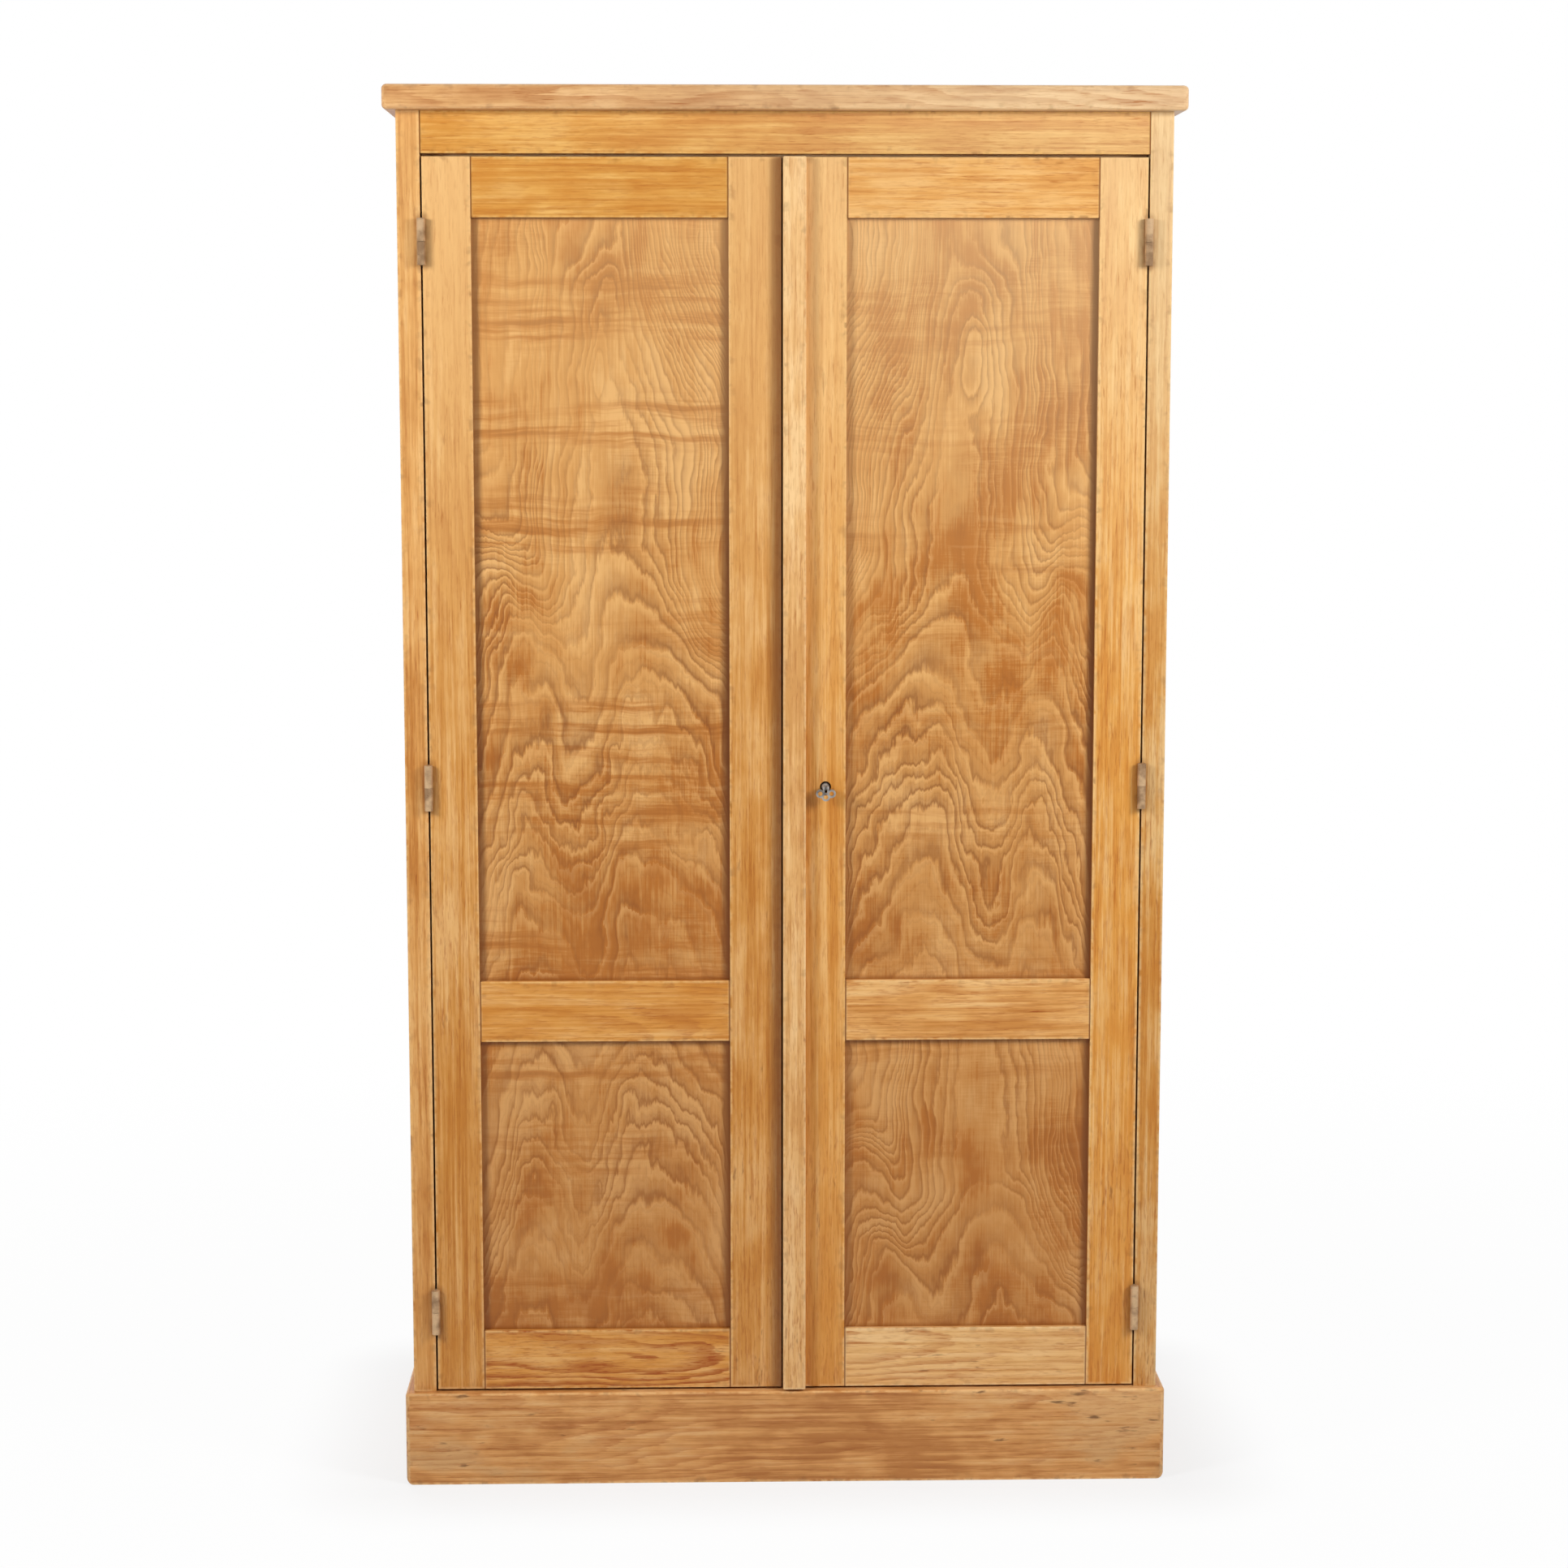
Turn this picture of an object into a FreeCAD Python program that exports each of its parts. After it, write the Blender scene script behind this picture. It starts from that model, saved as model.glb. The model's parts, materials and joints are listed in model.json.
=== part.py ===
import FreeCAD, Part
import math
import os

from FreeCAD import Vector

# A two-door wardrobe in millimetres: X to the right, Y to the back, Z up, floor at zero.
# The doors face -Y. Frames are mortised and tenoned, and panels sit in grooves.

# Body
body_width = 1000.0
body_depth = 500.0
frieze_height = 54.0
post_width = 30.0
post_depth = 45.0
post_arris = 2.0

# Top board
top_thickness = 32.0
top_front_overhang = 20.0
top_side_overhang = 16.0
top_corner_radius = 8.0
top_arris = 6.0

# Plinth
plinth_height = 126.0
plinth_side_overhang = 11.0
plinth_front_overhang = 12.0
plinth_corner_radius = 8.0
plinth_top_arris = 4.5
plinth_foot_radius = 10.0
corner_block_size = 45.0
corner_block_floor_gap = 10.0

# Side and back frames
side_rail_thickness = 22.0
side_top_rail_height = 70.0
side_bottom_rail_height = 90.0
back_frame_thickness = 22.0
back_top_rail_height = 70.0
back_bottom_rail_height = 90.0
back_muntin_width = 70.0

# Rails that the doors close against
sill_depth = 30.0
sill_height = 40.0
sill_rest = 4.0
top_stop_depth = 25.0
top_stop_drop = 15.0
stop_gap = 2.0

# Floor, hat shelf and hanging rail
floor_thickness = 18.0
floor_bearer_width = 20.0
hat_space = 320.0
shelf_thickness = 18.0
shelf_depth = 400.0
shelf_bearer_thickness = 20.0
shelf_bearer_height = 75.0
shelf_bearer_lap = 20.0
rail_diameter = 25.0
rail_drop = 45.0
rail_socket_depth = 12.0
rail_clearance = 0.3

# Doors
door_height = 1631.0
door_thickness = 22.0
door_bottom_gap = 3.0
door_top_gap = 4.0
hinge_gap = 2.5
meeting_gap = 2.0
meeting_line = -5.0
hinge_stile_width = 62.0
left_meeting_stile_width = 68.0
right_meeting_stile_width = 82.5
door_top_rail_height = 77.0
door_middle_rail_height = 81.0
door_bottom_rail_height = 80.0
lower_panel_height = 395.0
cover_strip_width = 30.0
cover_strip_thickness = 14.0
cover_strip_arris = 3.0

# Panels, grooves, tenons
panel_thickness = 6.0
panel_recess = 8.0
panel_tongue = 8.0
groove_end_gap = 1.0
panel_clearance = 0.15
tenon_thickness = 7.0
door_tenon_length = 25.0
side_tenon_length = 18.0
cross_tenon_length = 10.0
tenon_set_in = 3.0
tenon_clearance = 0.1

# Lift-off hinges
hinge_height = 60.0
hinge_end_inset = 108.0
barrel_radius = 5.5
barrel_clearance = 0.3
knuckle_gap = 0.3
pin_radius = 2.5
pin_reach = 24.0
pin_clearance = 0.08
pin_end_gap = 0.3
leaf_thickness = 2.0
leaf_let_in = 1.0
leaf_width = 20.0
leaf_clearance = 0.1

# Slide bolts on the left door
bolt_throw = 13.0
bolt_bar_width = 12.0
bolt_bar_thickness = 5.0
bolt_clearance = 0.3
bolt_seat = 4.3
bolt_plate_width = 30.0
bolt_plate_length = 90.0
bolt_plate_thickness = 2.0
bolt_plate_gap = 3.0
bolt_bridge_length = 14.0
bolt_bridge_wall = 2.5
bolt_knob_radius = 5.0
bolt_knob_length = 9.0
bolt_knob_gap = 2.0
bolt_tip_gap = 1.5
bolt_slot_clearance = 0.6
bolt_slot_spare = 3.0
keeper_thickness = 2.0
keeper_end_margin = 12.0
keeper_side_margin = 2.5

# Rim lock on the right door and the plate that its bolt slides behind
lock_backset = 56.0
lock_height = 815.0
lock_edge_gap = 1.0
lock_case_width = 80.0
lock_case_above = 32.0
lock_case_below = 22.0
lock_wall = 2.0
lock_cap_thickness = 1.5
lock_throw = 10.0
lock_bolt_lift = 8.0
lock_bolt_height = 14.0
lock_bolt_thickness = 7.0
lock_bolt_clearance = 0.6
lock_clearance = 0.3
lock_tail_gap = 1.0
lock_stump_inset = 22.0
lock_stump_radius = 2.0
strike_width = 34.0
strike_height = 60.0
strike_thickness = 2.0
strike_edge_gap = 1.0

# Key with a folding bow
keyhole_radius = 7.25
key_shank_radius = 3.0
key_clearance = 0.08
key_end_gap = 0.3
key_collar_radius = 5.0
key_collar_length = 5.0
key_collar_taper = 1.0
key_collar_proud = 3.0
key_bit_reach = 11.0
key_bit_thickness = 3.0
key_bit_clearance = 0.75
key_lobe_radius = 5.5
key_lobe_hole_radius = 3.0
key_side_lobe_spread = 7.5
key_side_lobe_drop = 7.0
key_low_lobe_drop = 11.5
key_bow_thickness = 3.0
key_bow_clearance = 1.5
key_ear_radius = 2.9
key_ear_thickness = 2.5
key_tang_thickness = 3.0
key_tang_radius = 2.4
key_tang_gap = 0.25
key_pivot_radius = 1.0

# Places worked out from the sizes above
half_width = body_width / 2
face = (top_front_overhang - body_depth) / 2
back = face + body_depth
post_inner = half_width - post_width
door_back = face + door_thickness
stop_front = door_back + stop_gap
sill_back = stop_front + sill_depth
plinth_thickness = stop_front + sill_rest - face + plinth_front_overhang
back_frame_front = back - back_frame_thickness
side_rail_inner = half_width - side_rail_thickness

door_bottom = plinth_height + door_bottom_gap
door_top = door_bottom + door_height
frieze_bottom = door_top + door_top_gap
body_top = frieze_bottom + frieze_height
top_stop_bottom = door_top - top_stop_drop
sill_top = plinth_height + sill_height
floor_bottom = sill_top - floor_thickness
shelf_top = body_top - hat_space
shelf_bottom = shelf_top - shelf_thickness

groove_depth = panel_tongue + groove_end_gap
tenon_inset = groove_depth + tenon_set_in

door_hinge_edge = post_inner - hinge_gap
left_meeting_edge = meeting_line - meeting_gap / 2
right_meeting_edge = meeting_line + meeting_gap / 2

hinge_axis_x = post_inner - hinge_gap / 2
hinge_axis_y = face - barrel_radius - barrel_clearance
hinge_levels = (
    door_bottom + hinge_end_inset,
    (door_bottom + door_top) / 2,
    door_top - hinge_end_inset,
)

bolt_x = left_meeting_edge - left_meeting_stile_width / 2
bolt_front = door_back + bolt_plate_thickness + bolt_seat
bolt_rear = bolt_front + bolt_bar_thickness

key_x = right_meeting_edge + lock_backset
key_z = door_bottom + lock_height
lock_left = right_meeting_edge + lock_edge_gap
lock_right = lock_left + lock_case_width
lock_bolt_front = door_back + max(lock_wall, strike_thickness) + lock_bolt_clearance
lock_bolt_rear = lock_bolt_front + lock_bolt_thickness
lock_case_rear = lock_bolt_rear + lock_bolt_clearance
lock_bolt_low = key_z + lock_bolt_lift
lock_bolt_high = lock_bolt_low + lock_bolt_height

key_bow_front = face - cover_strip_thickness - key_bow_clearance - key_bow_thickness
key_pivot_y = key_bow_front + key_bow_thickness / 2

SIDES = {"left": -1, "right": 1}


def block(x, y, z):
    """A rectangular solid between two limits on each axis, given in either order."""
    low = Vector(min(x), min(y), min(z))
    return Part.makeBox(max(x) - low.x, max(y) - low.y, max(z) - low.z, low)


def grown(limits, amount):
    """Two limits moved apart by the amount at each end, or together where it is negative."""
    return (min(limits) - amount, max(limits) + amount)


def centred(middle, width):
    return (middle - width / 2, middle + width / 2)


def rod(start, direction, radius, length):
    return Part.makeCylinder(radius, length, start, direction)


def same(a, b):
    return abs(a - b) < 1e-6


def rounded(solid, radius, chosen):
    """Rounds the edges whose bounding boxes pass the test."""
    edges = [edge for edge in solid.Edges if chosen(edge.BoundBox)]
    return solid.makeFillet(radius, edges)


def tenon_and_mortise(x, y, z):
    """A tenon and the pocket that takes it with a small clearance all round."""
    pocket = [grown(limits, tenon_clearance) for limits in (x, y, z)]
    return block(x, y, z), block(*pocket)


def save(name, solids):
    """Writes one node; several solids in a node stay separate."""
    whole = [solid.removeSplitter() for solid in solids]
    shape = whole[0] if len(whole) == 1 else Part.makeCompound(whole)
    shape.exportStep(f"parts/{name}.step")


# Top board: square at the back, rounded corners and arrises at the front and sides
def top_board():
    front = face - top_front_overhang
    under = body_top
    over = body_top + top_thickness
    solid = block(grown((-half_width, half_width), top_side_overhang), (front, back), (under, over))
    corner = min(top_corner_radius, top_front_overhang, top_side_overhang)
    arris = min(top_arris, top_thickness / 3)
    solid = rounded(solid, corner, lambda b: same(b.YMax, front) and b.ZLength > arris)
    solid = rounded(solid, arris, lambda b: same(b.ZMin, over) and not same(b.YMin, back))
    return rounded(solid, arris, lambda b: same(b.ZMax, under) and not same(b.YMin, back))


# Plinth: mitred at the front, with a rounded top arris, rounded corners and feet
def plinth():
    outer = half_width + plinth_side_overhang
    front = face - plinth_front_overhang
    wall = plinth_thickness
    height = (0, plinth_height)
    body = block((-outer, outer), (front, back), height)
    body = rounded(body, plinth_corner_radius, lambda b: same(b.YMax, front) and b.ZLength > wall)
    body = rounded(
        body, plinth_top_arris,
        lambda b: same(b.ZMin, plinth_height) and not same(b.YMin, back),
    )
    outline = block((-outer, outer), (front, back), height)
    outline = rounded(outline, plinth_foot_radius, lambda b: same(b.ZMax, 0) and b.XLength < wall)
    hollow = block(grown((-outer, outer), -wall), grown((front, back), -wall), height)
    ring = body.common(outline).cut(hollow)

    corners = [
        Vector(-outer - wall, front - wall, 0),
        Vector(outer + wall, front - wall, 0),
        Vector(outer - wall, front + wall, 0),
        Vector(wall - outer, front + wall, 0),
    ]
    mitre = Part.Face(Part.makePolygon(corners + corners[:1])).extrude(Vector(0, 0, plinth_height))
    rear = block(grown((-outer, outer), -wall), (back - wall, back), height)
    ends = ring.cut(mitre).cut(rear).Solids
    pieces = {"plinth_front": ring.common(mitre), "plinth_back": rear}
    for end in ends:
        side = "left" if end.CenterOfMass.x < 0 else "right"
        pieces[f"plinth_{side}"] = end
    return pieces


def corner_blocks():
    inner_x = half_width + plinth_side_overhang - plinth_thickness
    inner_front = face - plinth_front_overhang + plinth_thickness
    inner_back = back - plinth_thickness
    height = (corner_block_floor_gap, plinth_height)
    blocks = []
    for side in SIDES.values():
        across = (side * inner_x, side * (inner_x - corner_block_size))
        blocks.append(block(across, (inner_front, inner_front + corner_block_size), height))
        blocks.append(block(across, (inner_back - corner_block_size, inner_back), height))
    return blocks


# Carcass frame: posts, side frames, back frame and the rails between them
def carcass_frame():
    nodes = {}
    pockets = []
    post_height = (plinth_height, body_top)

    def cross_rail(name, y, z, tenon_middle, tenon_z):
        """A rail between two posts, tenoned into both."""
        rail = block((-post_inner, post_inner), y, z)
        for side in SIDES.values():
            reach = (side * post_inner, side * (post_inner + cross_tenon_length))
            tenon, pocket = tenon_and_mortise(reach, centred(tenon_middle, tenon_thickness), tenon_z)
            rail = rail.fuse(tenon)
            pockets.append(pocket)
        nodes[name] = rail

    frieze_z = (frieze_bottom, body_top)
    cross_rail(
        "frieze_rail", (face, stop_front), frieze_z,
        (face + stop_front) / 2, grown(frieze_z, -tenon_inset),
    )
    sill_z = (plinth_height, sill_top)
    cross_rail(
        "sill_rail", (stop_front, sill_back), sill_z,
        (stop_front + face + post_depth) / 2, grown(sill_z, -tenon_inset),
    )
    back_y = (back_frame_front, back)
    back_middle = (back_frame_front + back) / 2
    back_top_z = (body_top - back_top_rail_height, body_top)
    back_bottom_z = (plinth_height, plinth_height + back_bottom_rail_height)
    cross_rail("back_top_rail", back_y, back_top_z, back_middle, grown(back_top_z, -tenon_inset))
    cross_rail(
        "back_bottom_rail", back_y, back_bottom_z, back_middle, grown(back_bottom_z, -tenon_inset),
    )
    nodes["top_stop_rail"] = block(
        (-post_inner, post_inner), (stop_front, stop_front + top_stop_depth),
        (top_stop_bottom, body_top),
    )

    # Back muntin and the two back panels
    muntin_x = centred(0, back_muntin_width)
    muntin_z = (max(back_bottom_z), min(back_top_z))
    muntin = block(muntin_x, back_y, muntin_z)
    for shoulder, direction in ((muntin_z[0], -1), (muntin_z[1], 1)):
        reach = (shoulder, shoulder + direction * door_tenon_length)
        tenon, pocket = tenon_and_mortise(
            grown(muntin_x, -tenon_inset), centred(back_middle, tenon_thickness), reach,
        )
        muntin = muntin.fuse(tenon)
        rail = "back_bottom_rail" if direction < 0 else "back_top_rail"
        nodes[rail] = nodes[rail].cut(pocket)
    nodes["back_muntin"] = muntin

    panel_y = centred(back_middle, panel_thickness)
    grooves = []
    for name, side in SIDES.items():
        opening = (side * back_muntin_width / 2, side * post_inner)
        nodes[f"{name}_back_panel"] = block(
            grown(opening, panel_tongue), panel_y, grown(muntin_z, panel_tongue),
        )
        grooves.append(block(
            grown(opening, groove_depth), grown(panel_y, panel_clearance),
            grown(muntin_z, groove_depth),
        ))

    # Side frames: two rails between the posts, and one panel in their grooves
    front_post_y = (face, face + post_depth)
    back_post_y = (back - post_depth, back)
    side_y = (max(front_post_y), min(back_post_y))
    side_z = {
        "top": (body_top - side_top_rail_height, body_top),
        "bottom": (plinth_height, plinth_height + side_bottom_rail_height),
    }
    sight_z = (max(side_z["bottom"]), min(side_z["top"]))
    for name, side in SIDES.items():
        rail_x = (side * side_rail_inner, side * half_width)
        rail_middle = sum(rail_x) / 2
        panel_x = centred(rail_middle, panel_thickness)
        groove = block(
            grown(panel_x, panel_clearance), grown(side_y, groove_depth), grown(sight_z, groove_depth),
        )
        nodes[f"{name}_side_panel"] = block(
            panel_x, grown(side_y, panel_tongue), grown(sight_z, panel_tongue),
        )
        grooves.append(groove)
        for level, z in side_z.items():
            tenon, pocket = tenon_and_mortise(
                centred(rail_middle, tenon_thickness), grown(side_y, side_tenon_length),
                grown(z, -tenon_inset),
            )
            pockets.append(pocket)
            nodes[f"{name}_side_{level}_rail"] = block(rail_x, side_y, z).fuse(tenon).cut(groove)
        post_x = (side * post_inner, side * half_width)
        outer = side * half_width
        front_post = rounded(
            block(post_x, front_post_y, post_height), post_arris,
            lambda b: same(b.YMax, face) and same(b.XMin, outer) and b.ZLength > post_depth,
        )
        nodes[f"{name}_front_post"] = front_post
        nodes[f"{name}_back_post"] = block(post_x, back_post_y, post_height)

    for name in nodes:
        if name.endswith("_post"):
            for pocket in pockets:
                nodes[name] = nodes[name].cut(pocket)
        if name.endswith("_post") or name.startswith("back_"):
            for groove in grooves:
                nodes[name] = nodes[name].cut(groove)
    for name, side in SIDES.items():
        post = f"{name}_front_post"
        for level in hinge_levels:
            nodes[post] = nodes[post].cut(leaf_recess(post_leaf_x(side), level))
    return nodes


# Floor, hat shelf and hanging rail inside the carcass
def interior():
    floor = block(
        (-side_rail_inner, side_rail_inner), (sill_back, back_frame_front), (floor_bottom, sill_top),
    )
    bearers = []
    shelf_bearers = []
    rail_y = (door_back + back_frame_front) / 2
    rail_z = shelf_bottom - rail_drop
    socket_radius = rail_diameter / 2 + rail_clearance
    bearer_inner = post_inner - shelf_bearer_thickness
    for side in SIDES.values():
        post_x = (side * post_inner, side * half_width)
        for y in ((face, face + post_depth), (back - post_depth, back)):
            floor = floor.cut(block(post_x, y, (floor_bottom, sill_top)))
        bearers.append(block(
            (side * side_rail_inner, side * (side_rail_inner - floor_bearer_width)),
            (max(sill_back, face + post_depth), back - post_depth),
            (plinth_height, floor_bottom),
        ))
        bearer = block(
            (side * post_inner, side * bearer_inner),
            (max(face + post_depth - shelf_bearer_lap, stop_front), back - post_depth + shelf_bearer_lap),
            (shelf_bottom - shelf_bearer_height, shelf_bottom),
        )
        notch_x = (side * bearer_inner, side * (bearer_inner + rail_socket_depth))
        notch = block(notch_x, centred(rail_y, 2 * socket_radius), (rail_z, shelf_bottom))
        seat = rod(Vector(min(notch_x), rail_y, rail_z), Vector(1, 0, 0), socket_radius, rail_socket_depth)
        shelf_bearers.append(bearer.cut(notch).cut(seat))
    shelf = block(
        (-post_inner, post_inner), (back_frame_front - shelf_depth, back_frame_front),
        (shelf_bottom, shelf_top),
    )
    rail_half = bearer_inner + rail_socket_depth - rail_clearance
    rail = rod(Vector(-rail_half, rail_y, rail_z), Vector(1, 0, 0), rail_diameter / 2, 2 * rail_half)
    return {
        "bottom_board": [floor],
        "bottom_bearers": bearers,
        "hat_shelf": [shelf],
        "hat_shelf_bearers": shelf_bearers,
        "hanging_rail": [rail],
    }


# Hinge leaves lie in the gap between door and post, let into both by the same depth
def post_leaf_x(side):
    sunk = post_inner + leaf_let_in
    return (side * sunk, side * (sunk - leaf_thickness))


def door_leaf_x(side):
    sunk = door_hinge_edge - leaf_let_in
    return (side * sunk, side * (sunk + leaf_thickness))


def leaf_recess(leaf_x, level):
    return block(
        leaf_x, (face, face + leaf_width + leaf_clearance),
        grown(centred(level, hinge_height), leaf_clearance),
    )


def hinge_leaf(side, leaf_x, level, upward):
    """One leaf with its knuckle: the upper one is the door's, the lower one the post's."""
    axis = Vector(side * hinge_axis_x, hinge_axis_y, level)
    near = upward * knuckle_gap / 2
    far = upward * hinge_height / 2
    length = abs(far - near)
    knuckle = rod(axis + Vector(0, 0, min(near, far)), Vector(0, 0, 1), barrel_radius, length)
    plate = block(leaf_x, (face, face + leaf_width), centred(level, hinge_height))
    neck = block(leaf_x, (hinge_axis_y, face), (level + near, level + far))
    bore_start = level + min(near, near + upward * pin_reach)
    bore = rod(
        Vector(axis.x, axis.y, bore_start), Vector(0, 0, 1), pin_radius + pin_clearance, pin_reach,
    )
    return plate.fuse([neck, knuckle]).cut(bore)


def hinges():
    nodes = {"hinge_post_leaves": [], "hinge_pins": []}
    half_pin = knuckle_gap / 2 + pin_reach - pin_end_gap
    for name, side in SIDES.items():
        leaves = []
        for level in hinge_levels:
            leaves.append(hinge_leaf(side, door_leaf_x(side), level, 1))
            nodes["hinge_post_leaves"].append(hinge_leaf(side, post_leaf_x(side), level, -1))
            foot = Vector(side * hinge_axis_x, hinge_axis_y, level - half_pin)
            nodes["hinge_pins"].append(rod(foot, Vector(0, 0, 1), pin_radius, 2 * half_pin))
        nodes[f"{name}_hinge_leaves"] = leaves
    return nodes


# A frame-and-panel door: two stiles, three rails, two panels
def door(name, side, meeting_edge, meeting_stile_width):
    hinge_edge = side * door_hinge_edge
    hinge_shoulder = hinge_edge - side * hinge_stile_width
    meeting_shoulder = meeting_edge + side * meeting_stile_width
    thickness = (face, door_back)
    tenon_y = centred((face + door_back) / 2, tenon_thickness)
    panel_y = (face + panel_recess, face + panel_recess + panel_thickness)
    sight_x = (hinge_shoulder, meeting_shoulder)

    bottom = (door_bottom, door_bottom + door_bottom_rail_height)
    middle_low = bottom[1] + lower_panel_height
    middle = (middle_low, middle_low + door_middle_rail_height)
    top = (door_top - door_top_rail_height, door_top)
    openings = {"lower": (bottom[1], middle[0]), "upper": (middle[1], top[0])}

    nodes = {}
    grooves = []
    for level, z in openings.items():
        nodes[f"{name}_{level}_panel"] = block(
            grown(sight_x, panel_tongue), panel_y, grown(z, panel_tongue),
        )
        grooves.append(block(
            grown(sight_x, groove_depth), grown(panel_y, panel_clearance), grown(z, groove_depth),
        ))

    hinge_stile = block((hinge_edge, hinge_shoulder), thickness, (door_bottom, door_top))
    meeting_stile = block((meeting_edge, meeting_shoulder), thickness, (door_bottom, door_top))
    for level, z in (("top", top), ("middle", middle), ("bottom", bottom)):
        tenon, pocket = tenon_and_mortise(
            grown(sight_x, door_tenon_length), tenon_y, grown(z, -tenon_inset),
        )
        nodes[f"{name}_{level}_rail"] = block(sight_x, thickness, z).fuse(tenon).cut(grooves)
        hinge_stile = hinge_stile.cut(pocket)
        meeting_stile = meeting_stile.cut(pocket)
    for level in hinge_levels:
        hinge_stile = hinge_stile.cut(leaf_recess(door_leaf_x(side), level))
    nodes[f"{name}_hinge_stile"] = hinge_stile.cut(grooves)
    nodes[f"{name}_meeting_stile"] = meeting_stile.cut(grooves)
    return nodes


def cover_strip():
    """The strip on the right door's meeting stile, flush with the door's edge."""
    front = face - cover_strip_thickness
    solid = block(
        (right_meeting_edge, right_meeting_edge + cover_strip_width), (front, face),
        (door_bottom, door_top),
    )
    return rounded(solid, cover_strip_arris, lambda b: same(b.YMax, front) and b.ZLength > cover_strip_width)


# Slide bolts behind the left door: one rises behind the frieze, one drops into the sill
def slide_bolt(mouth, direction):
    """Guide, bar, keeper and slot of one bolt; direction is the way that the bolt is thrown."""
    def level(distance):
        return mouth - direction * distance

    plate_end = bolt_plate_gap + bolt_plate_length
    rear_bridge = plate_end - bolt_bridge_length
    bar_x = centred(bolt_x, bolt_bar_width)
    channel_x = grown(bar_x, bolt_clearance)
    channel_y = grown((bolt_front, bolt_rear), bolt_clearance)
    guide = block(
        centred(bolt_x, bolt_plate_width), (door_back, door_back + bolt_plate_thickness),
        (level(bolt_plate_gap), level(plate_end)),
    )
    for start in (bolt_plate_gap, rear_bridge):
        guide = guide.fuse(block(
            grown(channel_x, bolt_bridge_wall),
            (door_back + bolt_plate_thickness, max(channel_y) + bolt_bridge_wall),
            (level(start), level(start + bolt_bridge_length)),
        ))
    guide = guide.cut(block(channel_x, channel_y, (level(bolt_plate_gap), level(plate_end))))

    bar = block(
        bar_x, (bolt_front, bolt_rear), (level(bolt_tip_gap), level(plate_end + bolt_throw)),
    )
    knob_level = level(rear_bridge - bolt_knob_radius - bolt_knob_gap)
    knob = rod(
        Vector(bolt_x, bolt_rear, knob_level), Vector(0, 1, 0), bolt_knob_radius, bolt_knob_length,
    )

    slot_x = grown(bar_x, bolt_slot_clearance)
    slot_y = grown((bolt_front, bolt_rear), bolt_slot_clearance)
    slot = block(slot_x, slot_y, (mouth, level(bolt_tip_gap - bolt_throw - bolt_slot_spare)))
    keeper_seat = block(
        grown(slot_x, keeper_end_margin), grown(slot_y, keeper_side_margin),
        (mouth, level(-keeper_thickness)),
    )
    return guide, bar.fuse(knob), keeper_seat.cut(slot), slot.fuse(keeper_seat)


# Rim lock on the back of the right door
def lock():
    case_x = (lock_left, lock_right)
    case_z = (key_z - lock_case_below, key_z + lock_case_above)
    bolt_y = (lock_bolt_front, lock_bolt_rear)
    bolt_z = (lock_bolt_low, lock_bolt_high)
    stump_x = lock_left + lock_stump_inset
    stump_z = (lock_bolt_low + lock_bolt_high) / 2

    case = block(case_x, (door_back, lock_case_rear), case_z)
    case = case.cut(block(
        grown(case_x, -lock_wall), (door_back + lock_wall, lock_case_rear), grown(case_z, -lock_wall),
    ))
    case = case.cut(block(
        (lock_left, lock_left + lock_wall), (lock_bolt_front - lock_clearance, lock_case_rear),
        grown(bolt_z, lock_clearance),
    ))
    case = case.cut(key_passage(key_shank_radius + key_clearance, (door_back, door_back + lock_wall)))
    stump_start = Vector(stump_x, door_back + lock_wall, stump_z)
    stump_length = lock_case_rear - stump_start.y
    case = case.fuse(rod(stump_start, Vector(0, 1, 0), lock_stump_radius, stump_length))
    cap = block(case_x, (lock_case_rear, lock_case_rear + lock_cap_thickness), case_z)

    tail_end = lock_right - lock_wall - lock_tail_gap
    bolt = block((lock_left, tail_end), bolt_y, bolt_z)
    slot_half = lock_stump_radius + lock_clearance
    bolt = bolt.cut(block(
        (stump_x - slot_half, stump_x + slot_half + lock_throw), bolt_y, centred(stump_z, 2 * slot_half),
    ))
    bit_tip = math.hypot(key_bit_reach, key_bit_thickness / 2)
    talon_middle = key_x + lock_throw / 2
    bolt = bolt.cut(block(
        centred(talon_middle, 2 * bit_tip), bolt_y, (lock_bolt_low, key_z + bit_tip + lock_clearance),
    ))
    return {"lock_case": [case], "lock_cap": [cap], "lock_bolt": [bolt]}


def key_passage(radius, y):
    """A round hole with a slot below it for the key's bit."""
    start = Vector(key_x, min(y), key_z)
    hole = rod(start, Vector(0, 1, 0), radius, max(y) - min(y))
    slot_width = key_bit_thickness + 2 * key_bit_clearance
    slot = block(centred(key_x, slot_width), y, (key_z, key_z - key_bit_reach - key_bit_clearance))
    return hole.fuse(slot)


def strike_plate():
    edge = left_meeting_edge - strike_edge_gap
    return block(
        (edge, edge - strike_width), (door_back, door_back + strike_thickness),
        centred((lock_bolt_low + lock_bolt_high) / 2, strike_height),
    )


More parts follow.
